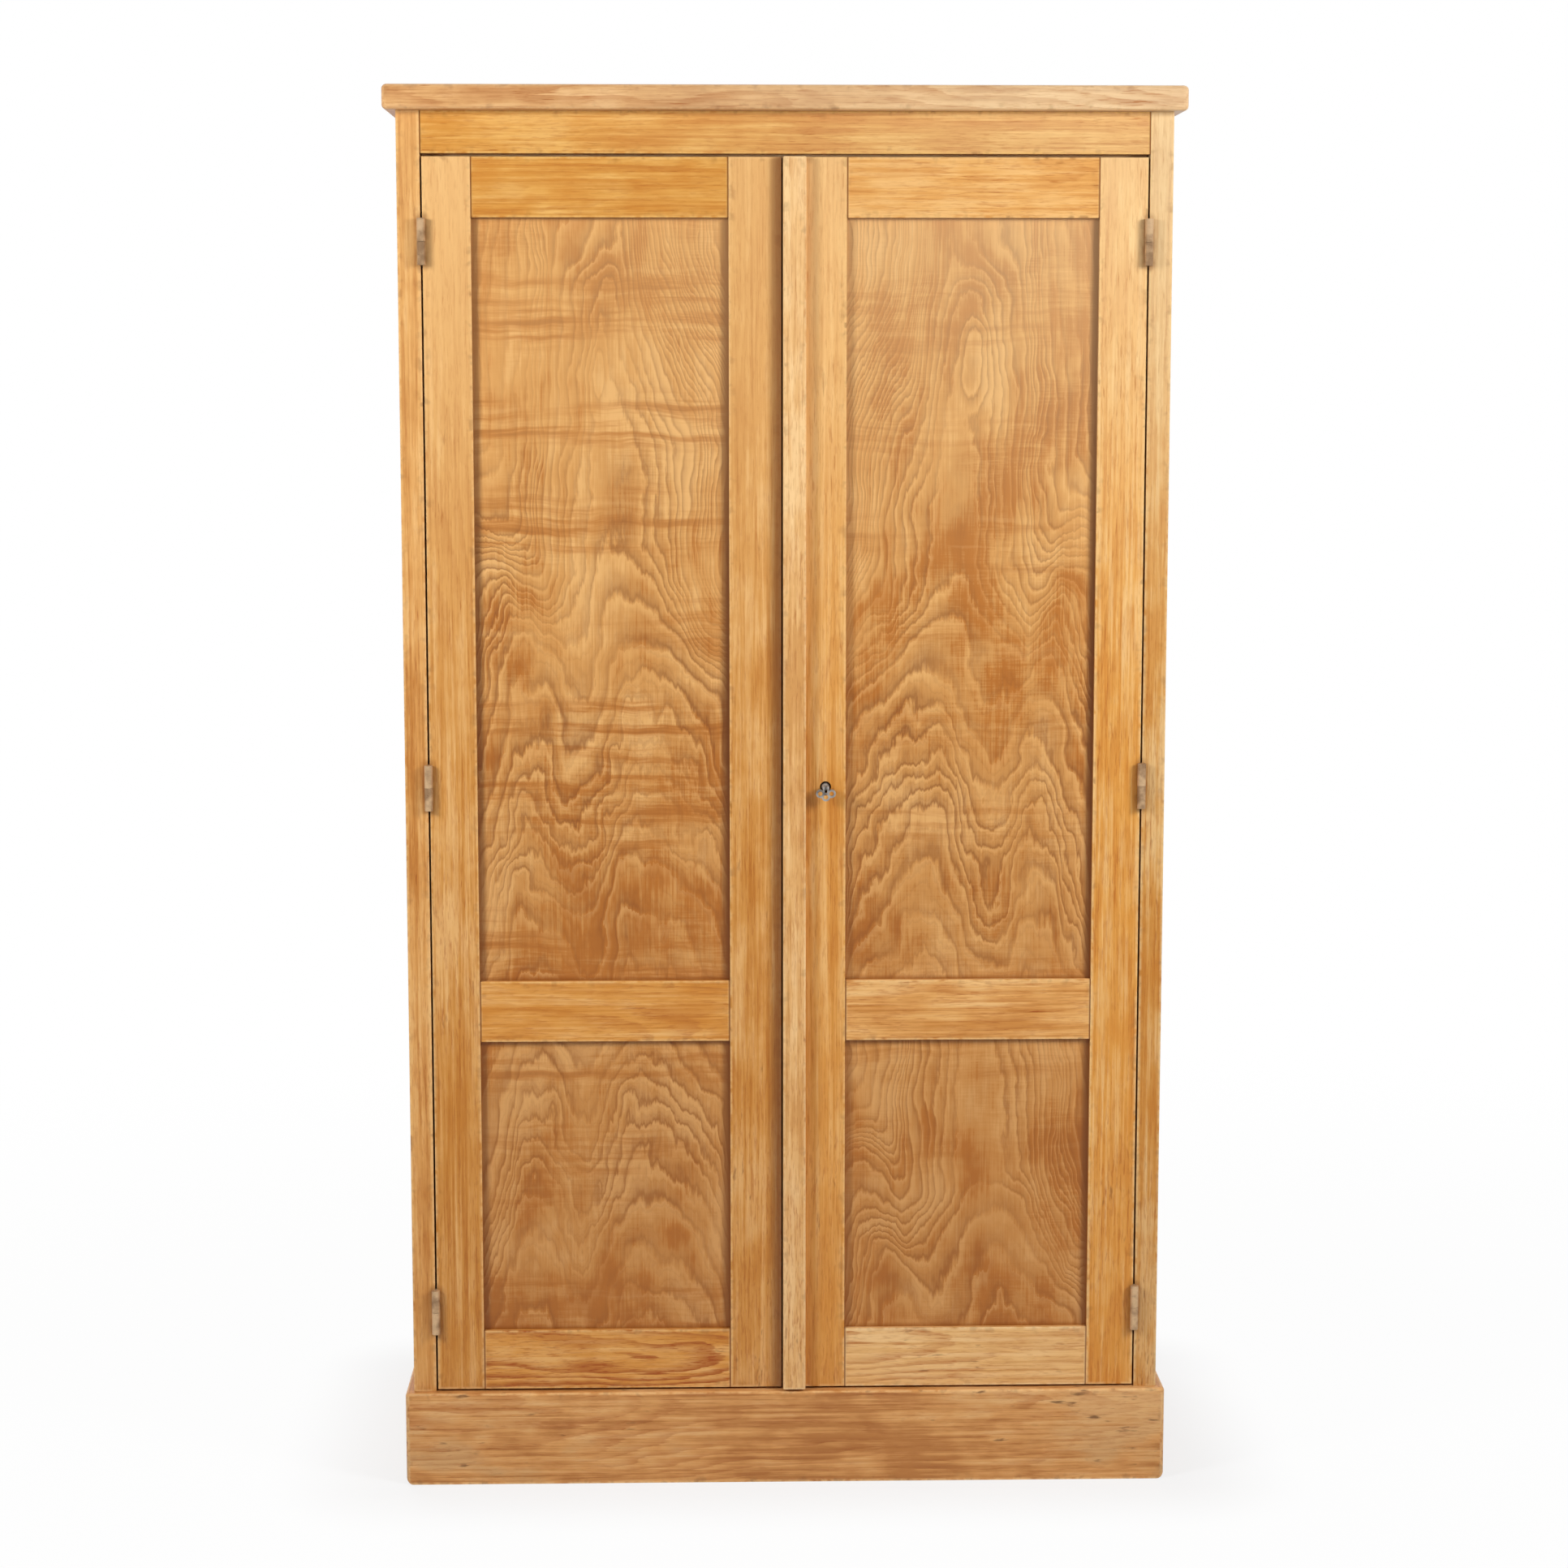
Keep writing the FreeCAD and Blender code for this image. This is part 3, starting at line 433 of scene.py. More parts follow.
def veneer_group():
    """Rotary-cut veneer: growth lines are contours of a wavy field, under cross ripple."""
    tree, given = new_group("veneer", (
        ("Place", "Vector"), ("Across", "Vector"), ("Side", "Float"), ("Width", "Float"),
        ("Top", "Float"), ("Bottom", "Float"), ("Start", "Float"), ("Seed", "Float"),
        ("Near", "Float"), ("Far", "Float"), ("Figure", "Float"), ("Ripple", "Float"),
        ("Line", "Color"), ("Amber", "Color"), ("Ground", "Color"), ("Pale", "Color"),
        ("Rim", "Color")))
    seed = given["Seed"]
    sideways = given["Place"].vector("DOT_PRODUCT", given["Across"])
    x, _, z = split(given["Place"])
    across = (sideways - given["Side"]) / given["Width"]
    drop = given["Top"] - z + given["Start"]
    sheet = joined(sideways, 0.0, z)

    # Waver of the sheet, coarse and fine
    coarse = noise(sheet.vector("MULTIPLY", (8.0, 0.0, 5.0)), seed, 3.0) - 0.5
    drift = noise(sheet.vector("MULTIPLY", (14.0, 0.0, 5.0)), seed + 5.0, 3.0) - 0.5
    swell = noise(sheet.vector("MULTIPLY", (5.0, 0.0, 11.0)), seed + 7.0, 2.0) - 0.5
    teeth = noise(sheet.vector("MULTIPLY", (130.0, 0.0, 12.0)), seed + 9.0, 3.0, 0.6) - 0.5
    fuzz = noise(sheet.vector("MULTIPLY", (330.0, 0.0, 60.0)), seed + 11.0, 2.0) - 0.5
    kink = noise(sheet.vector("MULTIPLY", (34.0, 0.0, 16.0)), seed + 15.0, 2.0) - 0.5
    lean = drop.ramp(0.0, 0.32, 0.26, 0.0) * across.ramp(0.45, 0.75)
    u = across + lean + drift * 0.2
    h = drop + coarse * 0.17

    upper = u.curve(UPPER_HANG) * UPPER_HANG_DEPTH
    lower = u.curve(LOWER_HANG) * LOWER_HANG_DEPTH
    turn = (h + u.ramp(0.0, 0.35, 0.16, 0.0)).ramp(ARCHES_START, ARCHES_START + ARCHES_FADE)
    hang = upper + (lower - upper) * turn
    crown = u.ramp(0.25, 0.42) * u.ramp(0.55, 0.75, 1.0, 0.0)
    fall = h * 0.08 + crown * h.ramp(0.0, 0.1, -0.06, 0.0)
    fall = fall + (h - ARCHES_START).math("MAXIMUM", 0.0) * 0.44
    eye_across = (u - EYE_ACROSS) / EYE_HALF_WIDTH
    eye_down = (h - EYE_DROP) / EYE_HALF_HEIGHT
    eye_reach = (eye_across * eye_across + eye_down * eye_down).math("SQRT")
    eye = eye_reach.ramp(0.0, 1.6, 0.036, 0.0)
    fray = teeth * turn.ramp(0.0, 1.0, 0.3, 0.55)
    level = (fall - hang + eye) / VENEER_RING + fray + swell * 1.6 + fuzz * 0.45
    level = level + kink * turn.ramp(0.0, 1.0, 0.5, 1.9)
    level = level + (level * 0.83).math("SINE") * 0.5
    line = level.math("FRACT")
    hair = (level * 2.7 + drift * 3.0).math("FRACT")

    vigour = noise(sheet.vector("MULTIPLY", (9.0, 0.0, 5.0)), seed + 13.0, 2.0)
    strength = vigour.ramp(0.32, 0.6, 0.35, 1.05) * turn.ramp(0.0, 1.0, 0.8, 1.0)
    strength = strength * z.ramp(0.3, 0.9, 1.1, 1.0) * given["Figure"]
    close = line.ramp(0.8, 1.0, 1.0, 0.0)
    dark = (line.ramp(0.1, 0.9) * 0.42 + line.ramp(0.62, 0.88) * 0.3) * close * strength
    bright = line.ramp(0.0, 0.35, 1.0, 0.0) * strength
    faint = hair.ramp(0.55, 0.95) * hair.ramp(0.95, 1.0, 1.0, 0.0) * turn

    layer = noise(joined(level * 0.45, drop * 1.5, 0.0), seed + 31.0, 2.0) - 0.5
    stain = noise(sheet.vector("MULTIPLY", (9.0, 0.0, 6.0)), seed + 19.0, 4.0, 0.6) - 0.5
    fibre = noise(sheet.vector("MULTIPLY", (420.0, 0.0, 14.0)), seed + 17.0, 3.0, 0.6) - 0.5
    weft = noise(sheet.vector("MULTIPLY", (30.0, 0.0, 420.0)), seed + 37.0, 2.0) - 0.5
    bowed = joined(sideways, 0.0, z + coarse * 0.03)
    band = noise(bowed.vector("MULTIPLY", (5.0, 0.0, 85.0)), seed + 23.0, 4.0, 0.6)
    patch = noise(sheet.vector("MULTIPLY", (6.0, 0.0, 9.0)), seed + 27.0, 1.0)
    gathered = (drop / RIPPLE_SPAN).curve(RIPPLE_PLACES)
    rippled = (patch * 1.8 + gathered).ramp(1.0, 1.6) * given["Ripple"]

    tone = layer * 1.0 + stain * z.ramp(0.3, 0.9, 4.0, 2.9) + fibre * 1.2 + 0.55
    tone = tone + weft * patch.ramp(0.45, 0.6, 0.1, 0.7)
    colour = mixed(tone.ramp(0.1, 0.55), given["Amber"], given["Ground"])
    colour = mixed(tone.ramp(0.55, 1.0) * 0.8, colour, given["Pale"])
    colour = mixed(bright * 0.55, colour, given["Pale"])
    colour = mixed(rippled * band.ramp(0.44, 0.64) * 0.85, colour, given["Amber"])
    colour = mixed(rippled * band.ramp(0.54, 0.74) * 0.36, colour, given["Line"])
    colour = mixed(rippled * band.ramp(0.3, 0.48, 0.5, 0.0), colour, given["Pale"])
    colour = mixed(faint * 0.14, colour, given["Line"])
    colour = mixed(dark, colour, given["Line"])
    smudge = (stain * -1.0).ramp(0.02, 0.22) * z.ramp(0.3, 1.2, 0.36, 0.1)
    colour = mixed(smudge, colour, given["Line"])

    # Old polish and dust, with painted shade, gather along the frame
    span = given["Width"].math("ABSOLUTE")
    near = (across * span).ramp(0.0, SIDE_RIM, 1.0, 0.0) * given["Near"]
    far = ((across * -1.0 + 1.0) * span).ramp(0.0, SIDE_RIM, 1.0, 0.0) * given["Far"]
    upright = (given["Top"] - z).math("MINIMUM", z - given["Bottom"])
    rim = near.math("MAXIMUM", far).math("MAXIMUM", upright.ramp(0.0, END_RIM, 0.6, 0.0))
    colour = mixed(rim, colour, given["Rim"])
    # Painted light: browner and darker lower down, paler higher up and drained at the upper right under a
    # painted sheen
    colour = mixed(z.ramp(0.2, 1.3, 0.35, 0.0), colour, given["Amber"])
    colour = mixed(z.ramp(0.2, 1.2, 0.1, 0.0), colour, given["Line"])
    colour = mixed(z.ramp(1.0, 1.8, 0.0, 0.3), colour, given["Pale"])
    colour = mixed(painted_sheen(x, z) * 0.16, colour, linear(SHEEN_TONE))

    relief = fibre * 0.5 - dark * 0.4
    roughness = dark * 0.1 + stain * 0.2 + VENEER_ROUGHNESS
    close_group(tree, colour, roughness, relief)
    return tree


# Metal
METAL_ROUGHNESS = 0.5


def metal_group():
    """Handled steel: cloudy patina, brown specks and fine file marks."""
    tree, given = new_group("metal", (
        ("Place", "Vector"), ("Seed", "Float"), ("Dull", "Color"), ("Ground", "Color"),
        ("Bright", "Color")))
    place = given["Place"]
    seed = given["Seed"]
    cloud = noise(place.scaled(60.0), seed, 3.0)
    speck = noise(place.scaled(700.0), seed + 3.0, 2.0)
    marks = noise(place.vector("MULTIPLY", (900.0, 900.0, 2600.0)), seed + 7.0, 2.0)
    colour = mixed(cloud.ramp(0.35, 0.65), given["Ground"], given["Bright"])
    stained = speck.ramp(0.58, 0.74) * cloud.ramp(0.3, 0.6, 1.0, 0.3)
    colour = mixed(stained * 0.55, colour, given["Dull"])
    roughness = (cloud - 0.5) * 0.3 + stained * 0.25 + METAL_ROUGHNESS
    close_group(tree, colour, roughness, marks * 0.4 - stained * 0.5)
    return tree


solid_wood = solid_wood_group()
veneer = veneer_group()
metal = metal_group()


# Settings of the boards, panels and metal
WAXED = {"IOR": 1.45, "Specular IOR Level": 0.4, "Coat Weight": 0.08, "Coat Roughness": 0.3}
BARE = {"IOR": 1.45, "Specular IOR Level": 0.25}
# Tarnished, so that it takes shade as well as gloss
STEEL = {"Metallic": 0.45}
BUMP_STRENGTH = 0.35
WOOD_RELIEF = 0.0004
VENEER_RELIEF = 0.0003
METAL_RELIEF = 0.0002
PANEL_TONGUE = 0.008
OAK_RING = 0.0062
PINE_RING = 0.0065
# Steps between the noise seeds of pieces
WOOD_SEED_STEP = 3.7
VENEER_SEED_STEP = 2.3
METAL_SEED_STEP = 1.9
# Ranges that a board's pith and figure are drawn from: depth in metres, shares of the width, strength
PITH_DEPTHS = (0.05, 0.12)
PITH_OFFSETS = (-0.8, 0.8)
FIGURES = (0.5, 1.1)
# How strongly a painted sheen pales the upper parts, and drains their colour
LEFT_TOP_SHEEN = 0.3
RIGHT_TOP_SHEEN = 0.6
TOP_SHEEN = {"top_board": 0.2, "left_hinge_stile": 0.85, "left_meeting_stile": 0.65, "left_top_rail": 0.1,
          "frieze_rail": 0.05, "right_top_rail": 0.25, "right_hinge_stile": 0.5,
          "right_meeting_stile": 0.7, "right_front_post": 0.5}
# Strength of the growth lines and of the cloudy colour, where it differs from the common run
FIGURE = {"left_bottom_rail": 1.9, "plinth_front": 0.8, "frieze_rail": 0.25, "left_top_rail": 0.4,
          "right_top_rail": 0.4}
FLECKS = {"cover_strip": 1.0, "left_meeting_stile": 0.7, "plinth_front": 0.45, "right_bottom_rail": 0.6}
# Boards along X and Y wander more than the uprights, whose grain is straight and plain
SWAY = (0.055, 0.055, 0.02)
FIGURE_SHARE = (1.0, 1.0, 0.4)
FLECK_SHARE = (0.9, 0.9, 0.8)
PLAIN_CLOUDS = 1.1
CLOUDS = {"left_hinge_stile": 0.8, "cover_strip": 1.6, "right_hinge_stile": 0.8,
          "right_meeting_stile": 0.8, "plinth_front": 1.5, "top_board": 1.6, "left_top_rail": 1.4,
          "right_bottom_rail": 0.8}
# Strength of the painted sheen at the upper right
PAINTED_SHEEN = {"top_board": 0.36, "frieze_rail": 0.2, "left_front_post": 0.06, "right_front_post": 0.3,
          "right_hinge_stile": 0.22, "right_meeting_stile": 0.18}
# Painted shadow of the cover strip
STRIP_SHADOW = {"left_meeting_stile": 0.75}
# Metal tones as sRGB bytes: stains, ground, bright clouds
METAL_TONES = {"hinge_steel": ((70, 48, 32), (146, 114, 82), (206, 172, 132)),
               "lock_steel": ((50, 42, 36), (98, 90, 82), (124, 116, 106)),
               "key_steel": ((30, 26, 22), (64, 59, 55), (172, 168, 162))}
# Dust and painted shade along a panel's left and right edges
PLAIN_DUST_AND_SHADE_RIMS = (0.5, 0.5)
DUST_AND_SHADE_RIMS = {"left_upper_panel": (0.7, 1.0), "left_lower_panel": (0.6, 1.0),
        "right_upper_panel": (0.3, 1.0), "right_lower_panel": (0.45, 0.95)}
# Strength of the cross ripple
PLAIN_RIPPLE = 0.5
RIPPLES = {"left_upper_panel": 1.0, "right_upper_panel": 0.45, "left_lower_panel": 0.8,
           "right_lower_panel": 0.4}
# Veneered panels: tones, figure mirrored or not, how far down the flitch the sheet begins,
# strength of the figure
PANELS = {"left_upper_panel": ("veneer", False, 0.0, 1.0),
          "right_upper_panel": ("veneer", True, -0.02, 1.0),
          "left_lower_panel": ("veneer", False, 0.62, 1.0),
          "right_lower_panel": ("veneer", False, 0.24, 1.0),
          "left_side_panel": ("side_veneer", False, 0.05, 0.7),
          "right_side_panel": ("side_veneer", True, 0.0, 0.7),
          "left_back_panel": ("back_veneer", False, 0.1, 0.4),
          "right_back_panel": ("back_veneer", True, 0.1, 0.4)}
# Rails by the pair of uprights that they run between
BETWEEN = {
    ("left_hinge_stile", "left_meeting_stile"):
        ("left_top_rail", "left_middle_rail", "left_bottom_rail"),
    ("right_meeting_stile", "right_hinge_stile"):
        ("right_top_rail", "right_middle_rail", "right_bottom_rail"),
    ("left_front_post", "right_front_post"): ("frieze_rail", "top_stop_rail", "sill_rail"),
    ("left_front_post", "left_back_post"): ("left_side_top_rail", "left_side_bottom_rail"),
    ("right_front_post", "right_back_post"): ("right_side_top_rail", "right_side_bottom_rail"),
}
NEIGHBOURS = {rail: pair for pair, rails in BETWEEN.items() for rail in rails}


def surface(name, group, settings, relief_depth, shader_values):
    """A material whose colour, roughness and relief come from one of the groups."""
    finish = bpy.data.materials.new(name)
    finish.use_nodes = True
    tree = finish.node_tree
    shader = tree.nodes["Principled BSDF"]
    figure = tree.nodes.new("ShaderNodeGroup")
    figure.node_tree = group
    place = tree.nodes.new("ShaderNodeTexCoord")
    tree.links.new(place.outputs["Object"], figure.inputs["Place"])
    for label, value in settings.items():
        figure.inputs[label].default_value = value
    bump = tree.nodes.new("ShaderNodeBump")
    bump.inputs["Strength"].default_value = BUMP_STRENGTH
    bump.inputs["Distance"].default_value = relief_depth
    tree.links.new(figure.outputs["Colour"], shader.inputs["Base Color"])
    tree.links.new(figure.outputs["Roughness"], shader.inputs["Roughness"])
    tree.links.new(figure.outputs["Relief"], bump.inputs["Height"])
    tree.links.new(bump.outputs["Normal"], shader.inputs["Normal"])
    for label, value in shader_values.items():
        shader.inputs[label].default_value = value
    return finish


def shown_box(name, axis):
    """A board's box at rest, less the tenons inside the members that it runs between."""
    low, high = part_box(name)
    if name in NEIGHBOURS:
        first, second = NEIGHBOURS[name]
        low[axis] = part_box(first)[1][axis]
        high[axis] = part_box(second)[0][axis]
    return low, high


def board_finish(name, tones, seed, ring, shader_values):
    """Solid wood for one board: grain along its longest side, pith behind one of its faces."""
    low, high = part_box(name)
    size = high - low
    axis = max(range(3), key=lambda i: size[i])
    thin = min(range(3), key=lambda i: size[i])
    wide = 3 - axis - thin
    draw = random.Random(seed)
    along = Vector((0.0, 0.0, 0.0))
    along[axis] = 1.0
    pith = (low + high) / 2.0
    pith[thin] += draw.choice((-1.0, 1.0)) * draw.uniform(*PITH_DEPTHS)
    pith[wide] += draw.uniform(*PITH_OFFSETS) * size[wide]
    # The painted sheen is stronger on the right side
    side_top_sheen = RIGHT_TOP_SHEEN if pith.x > 0.0 else LEFT_TOP_SHEEN
    low, high = shown_box(name, axis)
    pore, amber, ground, pale = (linear(tone) for tone in tones)
    settings = {"Along": along, "Pith": pith, "Low": low, "High": high, "Seed": seed * WOOD_SEED_STEP,
                "Ring": ring, "Sway": SWAY[axis],
                "Figure": FIGURE.get(name, draw.uniform(*FIGURES) * FIGURE_SHARE[axis]),
                "Flecks": FLECKS.get(name, FLECK_SHARE[axis]), "Clouds": CLOUDS.get(name, PLAIN_CLOUDS),
                "Joint": 1.0 if name in NEIGHBOURS else 0.0, "Strip Shadow": STRIP_SHADOW.get(name, 0.0),
                "Top Sheen": TOP_SHEEN.get(name, side_top_sheen), "Sheen": PAINTED_SHEEN.get(name, 0.0),
                "Pore": pore, "Amber": amber, "Ground": ground, "Pale": pale}
    return surface(name, solid_wood, settings, WOOD_RELIEF, shader_values)


def veneer_finish(name, tones, seed, mirrored, start, figure, shader_values):
    """Veneer for one panel: the figure spans the part that shows between the frame members."""
    low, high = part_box(name)
    size = high - low
    axis = 0 if size.x > size.y else 1
    across = Vector((0.0, 0.0, 0.0))
    across[axis] = 1.0
    left = low[axis] + PANEL_TONGUE
    right = high[axis] - PANEL_TONGUE
    rims = DUST_AND_SHADE_RIMS.get(name, PLAIN_DUST_AND_SHADE_RIMS)
    line, amber, ground, pale = (linear(tone) for tone in tones)
    settings = {"Across": across, "Side": right if mirrored else left,
                "Width": left - right if mirrored else right - left,
                "Top": high.z - PANEL_TONGUE, "Bottom": low.z + PANEL_TONGUE, "Start": start,
                "Seed": seed * VENEER_SEED_STEP, "Near": rims[mirrored], "Far": rims[not mirrored],
                "Figure": figure, "Ripple": RIPPLES.get(name, PLAIN_RIPPLE),
                "Line": line, "Amber": amber, "Ground": ground, "Pale": pale,
                "Rim": linear(RIM_DUST_AND_SHADE_TONE)}
    return surface(name, veneer, settings, VENEER_RELIEF, shader_values)


def metal_finish(name, tones, seed):
    """Handled steel in one set of tones."""
    dull, ground, bright = (linear(tone) for tone in tones)
    settings = {"Seed": seed * METAL_SEED_STEP, "Dull": dull, "Ground": ground, "Bright": bright}
    return surface(name, metal, settings, METAL_RELIEF, STEEL)


def finish_for(name, seed):
    """The material for one CAD node, by its slot and its place in the lists above."""
    slot = slot_of[name]
    if slot in METAL_TONES:
        return metal_finish(name, METAL_TONES[slot], seed)
    if name in PANELS:
        tones, mirrored, start, figure = PANELS[name]
        worn = BARE if slot == "inner_pine" else WAXED
        return veneer_finish(name, TONES[tones], seed, mirrored, start, figure, worn)
    if slot == "inner_pine":
        return board_finish(name, TONES["pine"], seed, PINE_RING, BARE)
    tones = BOARD_TONES.get(name, SLOT_TONES[slot])
    return board_finish(name, TONES[tones], seed, OAK_RING, WAXED)


# Softened arrises on every carried-over piece
WOOD_ARRIS = 0.0006
METAL_ARRIS = 0.0005
ARRIS_SEGMENTS = 2
ARRIS_LIMIT_DEGREES = 40.0
WELD_REACH = 0.00001
FLAT_LIMIT_DEGREES = 0.5


def soften(piece, width):
    """Small rounded arrises, by modifiers alone."""
    weld = piece.modifiers.new("weld", "WELD")
    weld.merge_threshold = WELD_REACH
    flat = piece.modifiers.new("flat", "DECIMATE")
    flat.decimate_type = "DISSOLVE"
    flat.angle_limit = math.radians(FLAT_LIMIT_DEGREES)
    bevel = piece.modifiers.new("arris", "BEVEL")
    bevel.width = width
    bevel.segments = ARRIS_SEGMENTS
    bevel.limit_method = "ANGLE"
    bevel.angle_limit = math.radians(ARRIS_LIMIT_DEGREES)
    piece.modifiers.new("normals", "WEIGHTED_NORMAL")


for index, name in enumerate(sorted(nodes)):
    piece = nodes[name]
    piece.data.materials.clear()
    piece.data.materials.append(finish_for(name, index + 1))
    soften(piece, METAL_ARRIS if slot_of[name] in METAL_TONES else WOOD_ARRIS)


# Slotted screw heads, almost flush, so that hinge leaves still close on each other
HEAD_STEPS = 10
SLOT_SHARE = 0.17
CAP_SHARE = 0.8
# Heights of a head's rim and of its slot's floor, as shares of the head
RIM_SHARE = 0.5
SLOT_FLOOR_SHARE = 0.15
SCREW_TONES = ((48, 36, 28), (108, 96, 84), (156, 146, 132))
# Slot floors painted near black, as painted shade in a deep slot
SCREW_SLOT_SHADE_TONES = ((12, 9, 7), (24, 19, 15), (38, 31, 25))
LEAF_FACE_OFFSET = 0.00025
LEAF_SCREW_INSET = 0.010
LEAF_SCREW_STEP = 0.019
BOLT_PLATE = 0.002
KEEPER_SCREW_INSET = 0.0055
BEARER_SCREW_RISE = 0.03
BEARER_SCREW_SHARES = (0.1, 0.3, 0.7, 0.9)
# Insets of screws from a plate's sides and ends
GUIDE_SCREW_INSETS = (0.0042, 0.03)
STRIKE_SCREW_RISE = 0.009
CAP_SCREW_INSETS = (0.0065, 0.0065)
# Radius and standing height of each kind of head
LEAF_SCREW = (0.0032, 0.00012)
KEEPER_SCREW = (0.0026, 0.0004)
BEARER_SCREW = (0.0045, 0.0006)
GUIDE_SCREW = (0.0026, 0.0006)
STRIKE_SCREW = (0.0032, 0.0004)
CAP_SCREW = (0.0032, 0.0007)


def half_round(radius, slot, side, height):
    """The outline of half a screw head beside its slot, anticlockwise."""
    start = math.asin(slot / radius)
    step = (math.pi - 2.0 * start) / HEAD_STEPS
    outline = []
    for index in range(HEAD_STEPS + 1):
        angle = start + step * index
        outline.append(Vector((radius * math.cos(angle), side * radius * math.sin(angle), height)))
    return outline if side > 0.0 else outline[::-1]


def screws(name, body, spots):
    """Screw heads of one body as one piece; a spot is place, facing, radius and standing height."""
    draw = random.Random(name)
    points = []
    faces = []
    shades = []
    for place, facing, radius, proud in spots:
        turn = Vector(facing).to_track_quat("Z", "Y").to_matrix()
        turn = turn @ Matrix.Rotation(draw.uniform(0.0, math.pi), 3, "Z")
        slot = radius * SLOT_SHARE
        for side in (1.0, -1.0):
            loops = [half_round(radius, slot, side, 0.0),
                     half_round(radius, slot, side, proud * RIM_SHARE),
                     half_round(radius * CAP_SHARE, slot, side, proud)]
            count = HEAD_STEPS + 1
            first = len(points)
            points.extend(place + turn @ point for loop in loops for point in loop)
            for level in range(2):
                for index in range(count):
                    a = first + level * count + index
                    b = first + level * count + (index + 1) % count
                    faces.append((a, b, b + count, a + count))
                    shades.append(0)
            faces.append(tuple(range(first + 2 * count, first + 3 * count)))
            shades.append(0)
        # The slot's floor, in the tones of painted shade
        first = len(points)
        reach = radius * math.cos(math.asin(SLOT_SHARE))
        for x, y in ((-reach, -slot), (reach, -slot), (reach, slot), (-reach, slot)):
            points.append(place + turn @ Vector((x, y, proud * SLOT_FLOOR_SHARE)))
        faces.append((first, first + 1, first + 2, first + 3))
        shades.append(1)
    mesh = bpy.data.meshes.new(name)
    mesh.from_pydata(points, [], faces)
    mesh.materials.append(metal_finish(name, SCREW_TONES, len(spots)))
    mesh.materials.append(metal_finish(name + "_slot_shade", SCREW_SLOT_SHADE_TONES, len(spots) + 1))
    for face, shade in zip(mesh.polygons, shades):
        face.material_index = shade
    piece = bpy.data.objects.new(name, mesh)
    bpy.context.scene.collection.objects.link(piece)
    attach(piece, body)


def leaf_screws(name, on_post):
    """Three screws in each hinge leaf, on the face towards the other leaf."""
    spots = []
    for low, high in loose_boxes(name):
        middle = (low + high) / 2.0
        side = math.copysign(1.0, middle.x)
        facing = Vector((-side if on_post else side, 0.0, 0.0))
        face = middle.x - facing.x * LEAF_FACE_OFFSET
        for step in (-1.0, 0.0, 1.0):
            place = Vector((face, high.y - LEAF_SCREW_INSET, middle.z + step * LEAF_SCREW_STEP))
            spots.append((place, facing, *LEAF_SCREW))
    return spots


def plate_screws(low, high, face, across, upward, head):
    """Screws facing the back near the corners of an upright plate."""
    spots = []
    for x in sorted({low.x + across, high.x - across}):
        for z in (low.z + upward, high.z - upward):
            spots.append((Vector((x, face, z)), Vector((0.0, 1.0, 0.0)), *head))
    return spots


carcass_spots = leaf_screws("hinge_post_leaves", True)
for low, high in loose_boxes("bolt_keepers"):
    up = high.z < CASE_TOP / 2.0
    for x in (low.x + KEEPER_SCREW_INSET, high.x - KEEPER_SCREW_INSET):
        place = Vector((x, (low.y + high.y) / 2.0, high.z if up else low.z))
        carcass_spots.append((place, Vector((0.0, 0.0, 1.0 if up else -1.0)), *KEEPER_SCREW))
for low, high in loose_boxes("hat_shelf_bearers"):
    inner = high.x if high.x < 0.0 else low.x
    for share in BEARER_SCREW_SHARES:
        place = Vector((inner, low.y + share * (high.y - low.y), low.z + BEARER_SCREW_RISE))
        carcass_spots.append((place, Vector((-math.copysign(1.0, inner), 0.0, 0.0)), *BEARER_SCREW))
left_spots = leaf_screws("left_hinge_leaves", False)
for low, high in loose_boxes("bolt_guides"):
    left_spots += plate_screws(low, high, low.y + BOLT_PLATE, *GUIDE_SCREW_INSETS, GUIDE_SCREW)
low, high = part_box("lock_strike_plate")
left_spots += plate_screws(low, high, high.y, (high.x - low.x) / 2.0, STRIKE_SCREW_RISE, STRIKE_SCREW)
right_spots = leaf_screws("right_hinge_leaves", False)
low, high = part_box("lock_cap")
right_spots += plate_screws(low, high, high.y, *CAP_SCREW_INSETS, CAP_SCREW)
screws("carcass_screws", "carcass", carcass_spots)
screws("left_door_screws", "left_door", left_spots)
screws("right_door_screws", "right_door", right_spots)


# Studio: pale floor, white surround, soft lights and camera
FLOOR_REACH = 12.0
FLOOR_GRAIN = 40.0
FLOOR_TONES = ((0.7, 0.7, 0.7, 1.0), (0.74, 0.74, 0.74, 1.0))
# Share of white in the floor close to the plinth, a step away from it, and far away
SHADE_NEAR = 0.76
SHADE_STEP = 0.96
SHADE_STEP_REACH = 0.2
SHADE_FAR_REACH = 2.5
AMBIENT = 0.11
MIDDLE = (0.0, 0.0, 0.95)
# Lights: name, place, target, width, height, watts
LIGHTS = (
    ("high_front", (1.4, -4.4, 3.0), (0.1, -0.2, 1.5), 3.0, 1.6, 18.0),
    ("left_front", (-2.04, -1.7, 2.05), (-0.2, -0.24, 1.2), 0.7, 0.9, 50.0),
    ("right_front", (2.04, -1.7, 2.05), (0.2, -0.24, 1.2), 0.7, 0.9, 54.0),
    ("behind", (-1.2, 3.2, 2.6), MIDDLE, 2.4, 1.8, 60.0),
    ("overhead", (0.0, 0.5, 3.4), (0.0, 0.1, CASE_TOP), 2.0, 1.2, 14.0),
)


def seen_plainly(tree):
    """One for rays from the camera, off gloss or through glass, nought for light on the object."""
    path = tree.nodes.new("ShaderNodeLightPath")
    seen = Field(tree, path.outputs["Is Camera Ray"])
    for other in ("Is Glossy Ray", "Is Transmission Ray"):
        seen = seen.math("MAXIMUM", Field(tree, path.outputs[other]))
    return seen


